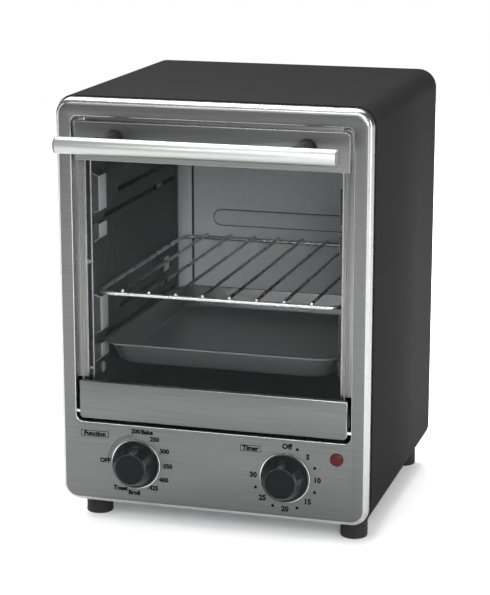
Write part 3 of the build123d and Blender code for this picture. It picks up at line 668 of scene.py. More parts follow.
GLASS_EDGE = Finish(
    "ground_glass_edge", "clear_glass", (0.10, 0.15, 0.14), (0.08, 0.12, 0.11), Pattern.GRAINED,
    even(900), roughness=(0.4, 0.5), relief=0.000004, specular=0.4, alpha=0.6,
)
INK = Finish(
    "printed_black_ink", "black_plastic", (0.002, 0.002, 0.002), (0.004, 0.004, 0.004), Pattern.GRAINED,
    even(2500), roughness=(0.5, 0.6), relief=0.000001, specular=0.02,
)
ELEMENT_SHEATH = Finish(
    "element_sheath_oxide", "element_sheath", (0.05, 0.048, 0.046), (0.1, 0.09, 0.08), Pattern.MOTTLED,
    even(320), roughness=(0.5, 0.7), relief=0.00004, metallic=0.6,
)
CERAMIC = Finish(
    "dark_ceramic", "ceramic", (0.05, 0.05, 0.048), (0.035, 0.035, 0.034), Pattern.MOTTLED,
    even(420), roughness=(0.7, 0.85), relief=0.00005, specular=0.2,
)
SWITCH_PLASTIC = Finish(
    "switch_tan_plastic", "switch_plastic", (0.24, 0.22, 0.19), (0.2, 0.18, 0.16), Pattern.GRAINED,
    even(1200), roughness=(0.45, 0.6), relief=0.00003, specular=0.4,
)
SPRING_STEEL = Finish(
    "spring_steel_wire", "spring_steel", (0.3, 0.3, 0.31), (0.2, 0.2, 0.21), Pattern.MOTTLED,
    even(500), roughness=(0.28, 0.42), relief=0.00001, metallic=1.0,
)


def dress(piece: bpy.types.Object, finish: Finish, body: str, *stands_for: str) -> bpy.types.Object:
    """Give a finished piece its material and body, and hide the nodes it stands for.

    Args:
        piece: The finished mesh object.
        finish: Its finish.
        body: The body that it rides on.
        *stands_for: Frame nodes that the piece replaces.

    Returns:
        The same piece.
    """
    piece.data.materials.clear()
    piece.data.materials.append(finish.material())
    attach(piece, body)
    if stands_for:
        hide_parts(*stands_for)
    log.info("%s: %d faces on %s", piece.name, len(piece.data.polygons), body)
    return piece


def trim(piece: bpy.types.Object, finish: Finish, picked: FaceTest) -> None:
    """Give some faces of a dressed piece a second finish.

    Args:
        piece: The dressed piece.
        finish: The finish of the picked faces.
        picked: Says from a face's centre and normal whether it is picked.
    """
    piece.data.materials.append(finish.material())
    for face in piece.data.polygons:
        if picked(face.center, face.normal):
            face.material_index = 1


def turned_away(centre: Vector, normal: Vector) -> bool:
    """Say whether a face turns away from the front, as a rolled edge does.

    Args:
        centre: The face's centre; not used.
        normal: The face's normal.

    Returns:
        True for a face of a rolled edge.
    """
    return abs(normal.y) < FLAT_FRONT


def dress_node(node: str, finish: Finish) -> None:
    """Give a frame node that stays as it is its material.

    Args:
        node: The node's name.
        finish: Its finish.
    """
    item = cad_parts[node]
    item.data.materials.clear()
    item.data.materials.append(finish.material())
    log.info("%s: kept from the frame", node)


def refined(
    node: str, name: str, finish: Finish, body: str, edge: float = 0.0003, angle: float = 32.0
) -> bpy.types.Object:
    """Replace a node by a merged copy of its mesh with eased edges and smooth rounds.

    Args:
        node: The frame node to follow.
        name: The new piece's name.
        finish: Its finish.
        body: The body that it rides on.
        edge: Width of the eased edges, or 0 for none.
        angle: Smoothing angle in degrees.

    Returns:
        The new piece.
    """
    piece = bpy.data.objects.new(name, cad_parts[node].data.copy())
    bpy.context.scene.collection.objects.link(piece)
    take(piece)
    bpy.ops.object.mode_set(mode="EDIT")
    bpy.ops.mesh.select_all(action="SELECT")
    bpy.ops.mesh.remove_doubles(threshold=NEAR)
    bpy.ops.mesh.dissolve_limited(angle_limit=math.radians(0.5))
    leave()
    if edge:
        modify(piece, "BEVEL", width=edge, segments=2, limit_method="ANGLE", angle_limit=math.radians(50))
    smooth(piece, angle)
    return dress(piece, finish, body, node)


# ---- Casing -------------------------------------------------------------------------------


@dataclass
class Casing:
    """The black wrapped shell, its rear cover, base, feet and screws."""

    corner: float = 0.0154
    sheet: float = 0.0012
    hem: float = 0.0006
    underside_flange: float = 0.033
    underside_end: float = 0.014
    foot_edge: float = 0.0012
    foot_radius: float = 0.011
    foot_waist: Profile = ((0.8, 1.0), (0.82, 0.975), (0.86, 0.975), (0.88, 1.0), (1.0, 1.0))

    def build(self) -> None:
        """Build every piece of the casing."""
        self.build_shell()
        self.build_feet()
        for node, name, finish, edge in (
            ("rear_cover", "rear_cover_skin", BLACK_PAINT, 0.0),
            ("rear_bulge", "rear_bulge_skin", BLACK_PAINT, 0.0),
            ("rear_screws", "rear_cover_screws", ZINC, 0.0002),
            ("base_plate", "base_plate_sheet", GALVANISED, 0.0),
            ("cord_gland", "cord_gland_bush", BLACK_PLASTIC, 0.0004),
        ):
            refined(node, name, finish, "oven", edge)
        for node, finish in (
            ("heat_shield", GALVANISED), ("foot_screws", ZINC), ("hinge_brackets", GALVANISED),
            ("terminal_block", SWITCH_PLASTIC), ("function_switch", SWITCH_PLASTIC),
            ("timer_unit", GALVANISED), ("lamp_holder", SWITCH_PLASTIC), ("shaft_nuts", ZINC),
        ):
            dress_node(node, finish)

    def build_shell(self) -> None:
        """Wrap one sheet round the oven, with eased hems and an open underside."""
        low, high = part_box("wrap_shell")
        shell = start_box("shell_wrap", low, high)
        bevel(shell, along(1), self.corner, 14)
        drop_faces(shell, looks_along(1))
        modify(shell, "SOLIDIFY", thickness=self.sheet, offset=-1, use_even_offset=True)
        for end in (low.y, high.y):
            bevel(shell, on_plane(1, end), self.hem * 0.9, 2)
        window = start_box(
            "underside_window",
            (low.x + self.underside_flange, low.y + self.underside_end, low.z - self.sheet),
            (high.x - self.underside_flange, high.y - self.underside_end, low.z + 2 * self.sheet),
        )
        cut(shell, window)
        smooth(shell)
        dress(shell, BLACK_PAINT, "oven", "wrap_shell")

    def build_feet(self) -> None:
        """Turn four rubber feet with an eased lower rim and a shallow waist line."""
        low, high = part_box("feet")
        radius = self.foot_radius
        height = high.z - low.z
        across = (low.x + radius, high.x - radius)
        along_y = (low.y + radius, high.y - radius)
        spots = [(x, y) for x in across for y in along_y]
        profile = [*eased(radius, self.foot_edge), *scaled(self.foot_waist, height, radius)]
        feet = [
            turned(f"foot_{index}", (x, y, low.z), (0, 0, 1), profile, 48)
            for index, (x, y) in enumerate(spots)
        ]
        piece = join("rubber_feet", feet)
        smooth(piece)
        dress(piece, RUBBER, "oven", "feet")


# ---- Front panel --------------------------------------------------------------------------


@dataclass
class FrontPanel:
    """The brushed bezel, the strips behind its opening and the lamp."""

    corner: float = 0.014
    roll: float = 0.006
    sheet: float = 0.001
    side_frame: float = 0.014
    top_frame: float = 0.0142
    control_height: float = 0.0682
    return_depth: float = 0.0064
    opening_corner: float = 0.0055
    opening_edge: float = 0.0011
    lens_height: float = 0.0022
    lens_stem: float = 0.75
    lens_dome: Profile = ((0.3, 1.0), (0.45, 0.96), (0.5, 0.88), (0.8, 0.7), (0.95, 0.4), (1.0, 0.12))

    def build(self) -> None:
        """Build every piece of the front panel."""
        self.build_bezel()
        for side in SIDE_WORDS.values():
            inner = min(abs(corner.x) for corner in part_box(f"jamb_{side}")) + SHEET_THICKNESS

            def at_inner_edge(centre: Vector, normal: Vector, inner: float = inner) -> bool:
                """Say whether a face is on the strip's edge beside the opening."""
                return turned_away(centre, normal) and abs(centre.x) < inner

            strip = refined(f"jamb_{side}", f"jamb_{side}_strip", JAMB_STEEL, "oven", edge=0.0004)
            # The strip's edge beside the opening gets the brighter steel: a painted highlight.
            trim(strip, ROLLED_EDGE_HIGHLIGHT, at_inner_edge)
        refined("jamb_top", "jamb_top_strip", JAMB_STEEL, "oven", edge=0.0003)
        refined("jamb_rivets", "jamb_rivet_heads", ZINC, "oven", edge=0.0)
        self.build_lamp()

    def build_bezel(self) -> None:
        """Press the bezel: rolled outer edge, door opening with a rounded lip and a return."""
        low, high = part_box("front_bezel")
        bezel = start_box("bezel_pressing", low, high)
        bevel(bezel, along(1), self.corner, 14)
        bevel(bezel, on_plane(1, low.y), self.roll, 8)
        opening_low = Vector((low.x + self.side_frame, low.y - self.roll, low.z + self.control_height))
        opening_high = Vector((high.x - self.side_frame, low.y + self.return_depth, high.z - self.top_frame))
        cutter = start_box("opening_cutter", opening_low, opening_high)
        bevel(cutter, along(1), self.opening_corner, 8)
        cut(bezel, cutter)

        def round_opening(a: Vector, b: Vector) -> bool:
            """Say whether an edge is on the opening's front rim."""
            middle = (a + b) / 2
            inside_x = opening_low.x - NEAR < middle.x < opening_high.x + NEAR
            inside_z = opening_low.z - NEAR < middle.z < opening_high.z + NEAR
            return on_plane(1, low.y)(a, b) and inside_x and inside_z

        bevel(bezel, round_opening, self.opening_edge, 4)
        back = (low.y + self.return_depth, high.y)

        def at_back(centre: Vector, normal: Vector) -> bool:
            """Say whether a face closes the pressing or its return at the back."""
            return looks_along(1)(centre, normal) and min(abs(centre.y - y) for y in back) < NEAR

        drop_faces(bezel, at_back)
        modify(bezel, "SOLIDIFY", thickness=self.sheet, offset=-1, use_even_offset=True)
        smooth(bezel)
        dress(bezel, BRUSHED_STEEL, "oven", "front_bezel")
        # The rolled edges and the opening's lip get the brighter steel: a painted highlight.
        trim(bezel, ROLLED_EDGE_HIGHLIGHT, turned_away)

    def build_lamp(self) -> None:
        """Turn the lamp's lens: a low dome with a stepped rim on a stem."""
        low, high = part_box("lamp_lens")
        radius = (high.z - low.z) / 2
        centre = ((low.x + high.x) / 2, high.y, (low.z + high.z) / 2)
        length = high.y - low.y
        stem = length - self.lens_height
        stem_radius = radius * self.lens_stem
        dome = [(stem + up, wide) for up, wide in scaled(self.lens_dome, self.lens_height, radius)]
        profile = [(0, stem_radius), (stem, stem_radius), (stem + NEAR, radius), *dome]
        lens = turned("lamp_red_lens", centre, (0, -1, 0), profile, 48)
        smooth(lens, 40)
        dress(lens, RED_LENS, "oven", "lamp_lens")


# ---- Printed dials ------------------------------------------------------------------------


# Word, degrees clockwise from the top, distance from the knob's axis, and shift to the right.
FUNCTION_LABELS = (
    ("200", 0, 0.0272, 0.0), ("Bake", 0, 0.0272, 0.0094), ("250", 34, 0.0262, 0.0012),
    ("300", 62, 0.0262, 0.0010), ("350", 90, 0.0262, 0.0006), ("400", 117, 0.0262, 0.0),
    ("425", 143, 0.0244, 0.0), ("Broil", 184.5, 0.0249, 0.0), ("Toast", 212, 0.0258, 0.0),
    ("OFF", 271, 0.0265, 0.0),
)


@dataclass
class PrintedDials:
    """The scales and words printed round the two knobs."""

    lift: float = 0.00008
    letter: float = 0.0060
    dial_radius: float = 0.0262
    mark_radius: float = 0.0225
    dot_radius: float = 0.00125
    line: float = 0.00042
    stroke: float = 0.00028
    small_letter: float = 0.00516
    boxed_letter: float = 1.02
    tick_radius: float = 0.0005
    tick_degrees: tuple[float, ...] = (0, 29, 60, 90, 121, 154, 185, 215)
    arc_radii: tuple[float, ...] = (0.0224, 0.0240)
    arc_ends: tuple[float, float] = (-86, -4)
    timer_step: float = 45.0
    off_shift: float = 0.0015
    off_radius: float = 0.0258
    function_box: Box = (-0.0469, -0.0232, 0.0198, 0.0250)
    timer_box: Box = (-0.0370, -0.0202, 0.0192, 0.0244)

    def build(self) -> None:
        """Print both dials."""
        self.face_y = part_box("front_bezel")[0].y
        self.print_function_dial()
        self.print_timer_dial()

    def centre_of(self, node: str) -> Vector:
        """Find a knob's axis on the bezel's face.

        Args:
            node: The knob's shaft node.

        Returns:
            The point on the face.
        """
        low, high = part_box(node)
        return Vector(((low.x + high.x) / 2, self.face_y, (low.z + high.z) / 2))

    def word(self, text: str, x: float, z: float, size: float) -> bpy.types.Object:
        """Make one word as thin raised ink, centred on a place.

        Args:
            text: The word.
            x: Its middle from left to right.
            z: Its middle in height.
            size: Letter size.

        Returns:
            The word as a mesh object.
        """
        deselect_all()
        bpy.ops.object.text_add()
        ink = bpy.context.object
        ink.data.body = text
        ink.data.size = size
        ink.data.align_x = "CENTER"
        ink.data.align_y = "CENTER"
        ink.data.extrude = self.lift / 2
        ink.data.offset = self.stroke
        ink.data.resolution_u = 2
        bpy.ops.object.convert(target="MESH")
        ink = bpy.context.object
        ink.rotation_euler = (math.pi / 2, 0, 0)
        ink.location = (x, self.face_y - self.lift / 2, z)
        settle(ink)
        return ink

    def bar(self, x0: float, x1: float, z0: float, z1: float) -> bpy.types.Object:
        """Make one straight printed bar between two corners on the face.

        Args:
            x0: Left end.
            x1: Right end.
            z0: Lower edge.
            z1: Upper edge.

        Returns:
            The bar.
        """
        return start_box("ink_bar", (x0, self.face_y - self.lift, z0), (x1, self.face_y, z1))

    def boxed_word(self, text: str, centre: Vector, box: Box) -> list[bpy.types.Object]:
        """Make a word in a thin frame.

        Args:
            text: The word.
            centre: The dial's centre.
            box: The frame's left, right, lower and upper sides, from the dial's centre.

        Returns:
            The frame's bars and the word.
        """
        x0, x1 = centre.x + box[0], centre.x + box[1]
        z0, z1 = centre.z + box[2], centre.z + box[3]
        line = self.line
        bars = [
            self.bar(x0, x1, z0, z0 + line), self.bar(x0, x1, z1 - line, z1),
            self.bar(x0, x0 + line, z0 + line, z1 - line), self.bar(x1 - line, x1, z0 + line, z1 - line),
        ]
        return [*bars, self.word(text, (x0 + x1) / 2, (z0 + z1) / 2, (z1 - z0) * self.boxed_letter)]

    def dot(self, centre: Vector, degrees: float, radius: float, size: float) -> bpy.types.Object:
        """Make a round printed dot at an angle round a dial.

        Args:
            centre: The dial's centre.
            degrees: Angle clockwise from the top.
            radius: Distance from the centre.
            size: The dot's radius.

        Returns:
            The dot.
        """
        angle = math.radians(degrees)
        place = (centre.x + radius * math.sin(angle), self.face_y, centre.z + radius * math.cos(angle))
        return turned("ink_dot", place, (0, -1, 0), [(0, size), (self.lift, size)], 16)

    def arc(self, centre: Vector, radius: float, start: float, end: float) -> bpy.types.Object:
        """Sweep a thin printed line round part of a dial.

        Args:
            centre: The dial's centre.
            radius: Radius of the line.
            start: First angle clockwise from the top, in degrees.
            end: Last angle.

        Returns:
            The line.
        """
        angle = math.radians(start)
        bar = self.bar(centre.x - self.lift, centre.x, centre.z + radius, centre.z + radius + self.line)
        drop_faces(bar, lambda middle, normal: normal.x < FACING)
        take(bar)
        bpy.ops.object.mode_set(mode="EDIT")
        bpy.ops.mesh.select_all(action="SELECT")
        bpy.ops.transform.rotate(value=-angle, orient_axis="Y", center_override=tuple(centre))
        bpy.ops.mesh.spin(
            steps=24, angle=math.radians(start - end), center=tuple(centre), axis=(0, 1, 0)
        )
        leave()
        recalculate(bar)
        return bar

    def print_function_dial(self) -> None:
        """Print the function dial: temperatures, functions and the arc from OFF to 200."""
        centre = self.centre_of("function_shaft")
        ink = []
        for text, degrees, radius, nudge in FUNCTION_LABELS:
            angle = math.radians(degrees)
            x = centre.x + radius * math.sin(angle) + nudge
            ink.append(self.word(text, x, centre.z + radius * math.cos(angle), self.small_letter))
        for degrees in self.tick_degrees:
            ink.append(self.dot(centre, degrees, self.mark_radius, self.tick_radius))
        for radius in self.arc_radii:
            ink.append(self.arc(centre, radius, *self.arc_ends))
        ink += self.boxed_word("Function", centre, self.function_box)
        dress(join("function_scale_print", ink), INK, "oven")

    def print_timer_dial(self) -> None:
        """Print the timer dial: minutes every eighth of a turn with dots between."""
        centre = self.centre_of("timer_shaft")
        ink = [self.word("Off", centre.x + self.off_shift, centre.z + self.off_radius, self.letter)]
        for step in range(1, 7):
            angle = math.radians(self.timer_step * step)
            x = centre.x + self.dial_radius * math.sin(angle)
            z = centre.z + self.dial_radius * math.cos(angle)
            ink.append(self.word(str(5 * step), x, z, self.letter))
        for step in range(6):
            degrees = self.timer_step * (step + 0.5)
            ink.append(self.dot(centre, degrees, self.dial_radius, self.dot_radius))
        ink += self.boxed_word("Timer", centre, self.timer_box)
        dress(join("timer_scale_print", ink), INK, "oven")


# ---- Knobs --------------------------------------------------------------------------------


@dataclass
class Knob:
    """One control knob: a tapered body, its satin cap and a pointer rib."""

    label: str
    body: str
    rib_width: float = 0.0024
    rib_edge: float = 0.0005
    sides: int = 96
    seat: float = 0.985
    lip: float = 0.0003
    cap_share: float = 0.665
    dome: Profile = (
        (0.10, 1.0), (0.18, 0.99), (0.3, 0.96), (0.42, 0.92), (0.55, 0.865), (0.68, 0.81),
        (0.8, 0.755), (0.9, 0.71), (0.96, 0.685),
    )
    cap_rim: Profile = ((1.0, 0.985), (1.0, 0.93), (0.965, 0.905))
    disc_edge: Profile = ((0.0, 0.9), (0.0002, 0.9), (0.0005, 0.87), (0.0006, 0.8))

    def build(self) -> None:
        """Turn the knob, add its rib and cap, and dress its shaft."""
        low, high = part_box(f"{self.label}_knob")
        radius = (high.x - low.x) / 2
        depth = high.y - low.y
        centre = ((low.x + high.x) / 2, high.y, (low.z + high.z) / 2)
        cap = radius * self.cap_share
        profile = [
            (0, radius * self.seat), (self.lip, radius),
            *scaled(self.dome, depth, radius), *scaled(self.cap_rim, depth, cap),
        ]
        knob = turned(f"{self.label}_knob_body", centre, (0, -1, 0), profile, self.sides)
        rib_front = low.y + depth * 0.12
        rib_top = centre[2] + radius * 0.95
        rib = start_box(
            "pointer_rib",
            (centre[0] - self.rib_width / 2, rib_front, centre[2] + cap * 0.9),
            (centre[0] + self.rib_width / 2, high.y - depth * 0.1, rib_top),
        )

        def front_top(a: Vector, b: Vector) -> bool:
            """Say whether an edge is the rib's upper front one."""
            return on_plane(1, rib_front)(a, b) and on_plane(2, rib_top)(a, b)

        shift_edges(rib, front_top, (0, 0, cap * 1.14 - radius * 0.95))
        bevel(rib, lambda a, b: True, self.rib_edge, 3)
        knob = join(f"{self.label}_knob_body", [knob, rib])
        smooth(knob, 28)
        dress(knob, KNOB_PLASTIC, self.body, f"{self.label}_knob")
        disc_at = (centre[0], low.y + depth * (1 - self.cap_rim[-1][0]) + self.disc_edge[1][0], centre[2])
        disc_profile = scaled(self.disc_edge, 1.0, cap)
        disc = turned(f"{self.label}_knob_cap", disc_at, (0, -1, 0), disc_profile, self.sides)
        smooth(disc)
        dress(disc, KNOB_CAP, self.body)
        dress_node(f"{self.label}_shaft", ZINC)


# ---- Cavity -------------------------------------------------------------------------------


@dataclass(frozen=True)
class Lug:
    """The form of one pressed lug: its height, its length and how far its top and bottom slope."""

    rise: float
    height: float
    over: float
    under: float
    length: float = 0.0175


@dataclass
class Cavity:
    """The oven's inner box with its lugs, embossed back and heating elements."""

    reach: float = 0.0045
    lug_behind: float = 0.0065
    ramp: float = 0.003
    back_slope: float = 0.002
    lug_edge: float = 0.0009
    steep: float = 0.6
    hem: float = 0.0006
    short_lug: Lug = Lug(rise=0.0589, height=0.016, over=0.0003, under=0.0036)
    tall_lug: Lug = Lug(rise=0.0997, height=0.033, over=0.003, under=0.0018)
    rear_lug: Lug = Lug(rise=0.0963, height=0.0155, over=0.0012, under=0.0012, length=0.0125)
    upper_lug_down: float = 0.0406
    boss_radius: float = 0.0044
    boss_behind: float = 0.017
    boss_shape: Profile = ((0.0, 1.0), (0.0015, 1.0), (0.0020, 0.94), (0.00225, 0.8))
    crease_rise: float = 0.1423
    crease_height: float = 0.0007
    crease_start: float = 0.102
    crease_stop: float = 0.01
    emboss_height: float = 0.014
    emboss_length: float = 0.146
    emboss_rise: float = 0.0016
    emboss_low: float = 0.2045
    shade_edge: float = 0.0007
    corner_shade_in: float = 0.005
    corner_shade_width: float = 0.006

    def build(self) -> None:
        """Build every piece of the cavity."""
        for side, word in SIDE_WORDS.items():
            refined(f"cavity_wall_{word}", f"cavity_{word}_sheet", CAVITY_COAT, "oven", edge=0.0003)
            self.build_lugs(side, word)
            self.build_crease_shade(side, word)
            self.build_hem(side, word)
        for node, name, finish in (
            ("cavity_back", "cavity_back_sheet", BACK_LIT_COAT),
            ("cavity_roof", "cavity_roof_sheet", CAVITY_COAT),
            ("cavity_floor", "cavity_floor_sheet", CAVITY_COAT),
            ("upper_elements", "upper_heaters", ELEMENT_SHEATH),
            ("lower_elements", "lower_heaters", ELEMENT_SHEATH),
        ):
            refined(node, name, finish, "oven", edge=0.0)
        refined("element_insulators", "heater_end_beads", CERAMIC, "oven", edge=0.0004)
        self.build_emboss()
        self.build_corner_shades()

    def press_lug(self, side: int, front: float, lug_form: Lug, lift: float = 0.0) -> bpy.types.Object:
        """Press one lug out of a side wall, sloped on all four sides.

        Args:
            side: -1 for the left wall, 1 for the right.
            front: Front end of the flat face.
            lug_form: The lug's height and slopes.
            lift: How far above the lower shelf level the lug is.

        Returns:
            The lug.
        """
        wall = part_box("cavity_back")[1].x - SHEET_THICKNESS
        crest = wall - self.reach
        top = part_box("cavity_floor")[1].z + lug_form.rise + lift
        low = (min(side * wall, side * crest), front - self.ramp, top - lug_form.height)
        high = (max(side * wall, side * crest), front + lug_form.length + self.back_slope, top)
        lug = start_box("pressed_lug", low, high)
        pick_faces(lug, looks_along(0, -side))
        depth = high[1] - low[1]
        flat = lug_form.height - lug_form.over - lug_form.under
        shift = (self.ramp - self.back_slope) / 2
        drop = (lug_form.over - lug_form.under) / 2
        middle = (side * crest, (low[1] + high[1]) / 2, top - lug_form.height / 2)
        bpy.ops.transform.resize(
            value=(1, lug_form.length / depth, flat / lug_form.height), center_override=middle
        )
        bpy.ops.transform.translate(value=(0, shift, -drop))
        leave()
        bevel(lug, lambda a, b: abs(a.x - b.x) > NEAR or on_plane(0, side * crest)(a, b), self.lug_edge, 3)
        return lug

    def build_lugs(self, side: int, word: str) -> None:
        """Press the shelf lugs, the rear stop and the round boss on one side wall.

        Args:
            side: -1 for the left wall, 1 for the right.
            word: The side's name.
        """
        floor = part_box("cavity_floor")[1].z
        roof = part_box("cavity_roof")[0].z
        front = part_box("cavity_floor")[0].y + self.lug_behind
        level = roof - self.upper_lug_down - floor - self.tall_lug.rise
        forms = (self.short_lug, self.tall_lug)
        pieces = [self.press_lug(side, front, form, lift) for lift in (0.0, level) for form in forms]
        box_low, box_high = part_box(f"shelf_lugs_{word}")
        rear_front = box_high.y - self.back_slope - self.rear_lug.length
        pieces.append(self.press_lug(side, rear_front, self.rear_lug))
        wall = side * max(abs(box_low.x), abs(box_high.x))
        boss_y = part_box("cavity_floor")[0].y + self.boss_behind
        profile = scaled(self.boss_shape, 1.0, self.boss_radius)
        place = (wall, boss_y, box_low.z + self.boss_radius)
        pieces.append(turned("boss", place, (-side, 0, 0), profile, 40))
        lugs = join(f"shelf_{word}_lugs", pieces)
        smooth(lugs, 40)
        # The lugs get a much lighter copy of the walls' coat as painted light, and their slopes the dark wall
        # coat as painted shade.
        dress(lugs, LUG_LIT_STEEL, "oven", f"shelf_lugs_{word}")
        trim(lugs, CAVITY_COAT, self.in_shade)

    def in_shade(self, centre: Vector, normal: Vector) -> bool:
        """Say whether a lug's face is a front, upper or lower slope, which is painted in the dark wall coat
        as painted shade.

        Args:
            centre: The face's centre; not used.
            normal: The face's normal.

        Returns:
            True for such a slope.
        """
        return normal.y < -self.steep or abs(normal.z) > self.steep

    def build_hem(self, side: int, word: str) -> None:
        """Roll a thin hem down the front corner of one side wall, in the brighter steel as a painted
        highlight.

        Args:
            side: -1 for the left wall, 1 for the right.
            word: The side's name.
        """
        low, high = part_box(f"cavity_wall_{word}")
        wall = side * (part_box("cavity_back")[1].x - SHEET_THICKNESS)
        half = self.hem
        hem = start_box(
            f"wall_hem_{word}", (wall - half, low.y - half, low.z + half),
            (wall + half, low.y + half, high.z),
        )
        bevel(hem, along(2), half * 0.8, 4)
        smooth(hem, 60)
        dress(hem, ROLLED_EDGE_HIGHLIGHT, "oven")

    def build_crease_shade(self, side: int, word: str) -> None:
        """Lay a thin dark strip along one side wall: painted shade of a pressed line.

        Args:
            side: -1 for the left wall, 1 for the right.
            word: The side's name.
        """
        low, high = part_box(f"cavity_wall_{word}")
        wall = side * (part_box("cavity_back")[1].x - SHEET_THICKNESS)
        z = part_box("cavity_floor")[1].z + self.crease_rise
        inner = wall - side * self.crease_height
        start = (min(wall, inner), low.y + self.crease_start, z)
        end = (max(wall, inner), high.y - self.crease_stop, z + self.crease_height)
        crease_shade = start_box(f"wall_crease_shade_{word}", start, end)
        bevel(crease_shade, on_plane(0, inner), self.crease_height * 0.4, 2)
        dress(crease_shade, SHADOW_COAT, "oven")

    def build_emboss(self) -> None:
        """Raise the long round-ended emboss on the back wall and ring it with painted shade."""
        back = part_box("cavity_back")[1].y - SHEET_THICKNESS
        half = self.emboss_length / 2
        pad = start_box(
            "back_emboss", (-half, back - self.emboss_rise, self.emboss_low),
            (half, back, self.emboss_low + self.emboss_height),
        )
        bevel(pad, along(1), self.emboss_height * ROUND_END, 8)
        bevel(pad, on_plane(1, back - self.emboss_rise), self.emboss_rise * 0.7, 3)
        smooth(pad, 40)
        dress(pad, BACK_LIT_COAT, "oven")
        # Painted shade: a dark ring just outside the emboss, where its edge shades the wall.
        edge = self.shade_edge
        shade_ring = start_box(
            "back_emboss_shade_ring", (-half - edge, back - edge / 2, self.emboss_low - edge),
            (half + edge, back, self.emboss_low + self.emboss_height + edge),
        )
        bevel(shade_ring, along(1), self.emboss_height * ROUND_END + edge, 8)
        smooth(shade_ring, 40)
        dress(shade_ring, SHADOW_COAT, "oven")

    def build_corner_shades(self) -> None:
        """Lay a dark upright strip at each side of the back wall: painted shade in the back corners."""
        low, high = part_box("cavity_back")
        back = high.y - SHEET_THICKNESS
        outer = high.x - SHEET_THICKNESS - self.corner_shade_in
        for side, word in SIDE_WORDS.items():
            ends = sorted((side * outer, side * (outer - self.corner_shade_width)))
            corner_shade = start_box(
                f"back_corner_shade_{word}", (ends[0], back - self.shade_edge, low.z + self.corner_shade_in),
                (ends[1], back, high.z - self.corner_shade_in),
            )
            bevel(corner_shade, along(2), self.shade_edge * 0.8, 3)
            smooth(corner_shade, 40)
            dress(corner_shade, SHADOW_COAT, "oven")


# ---- Door ---------------------------------------------------------------------------------


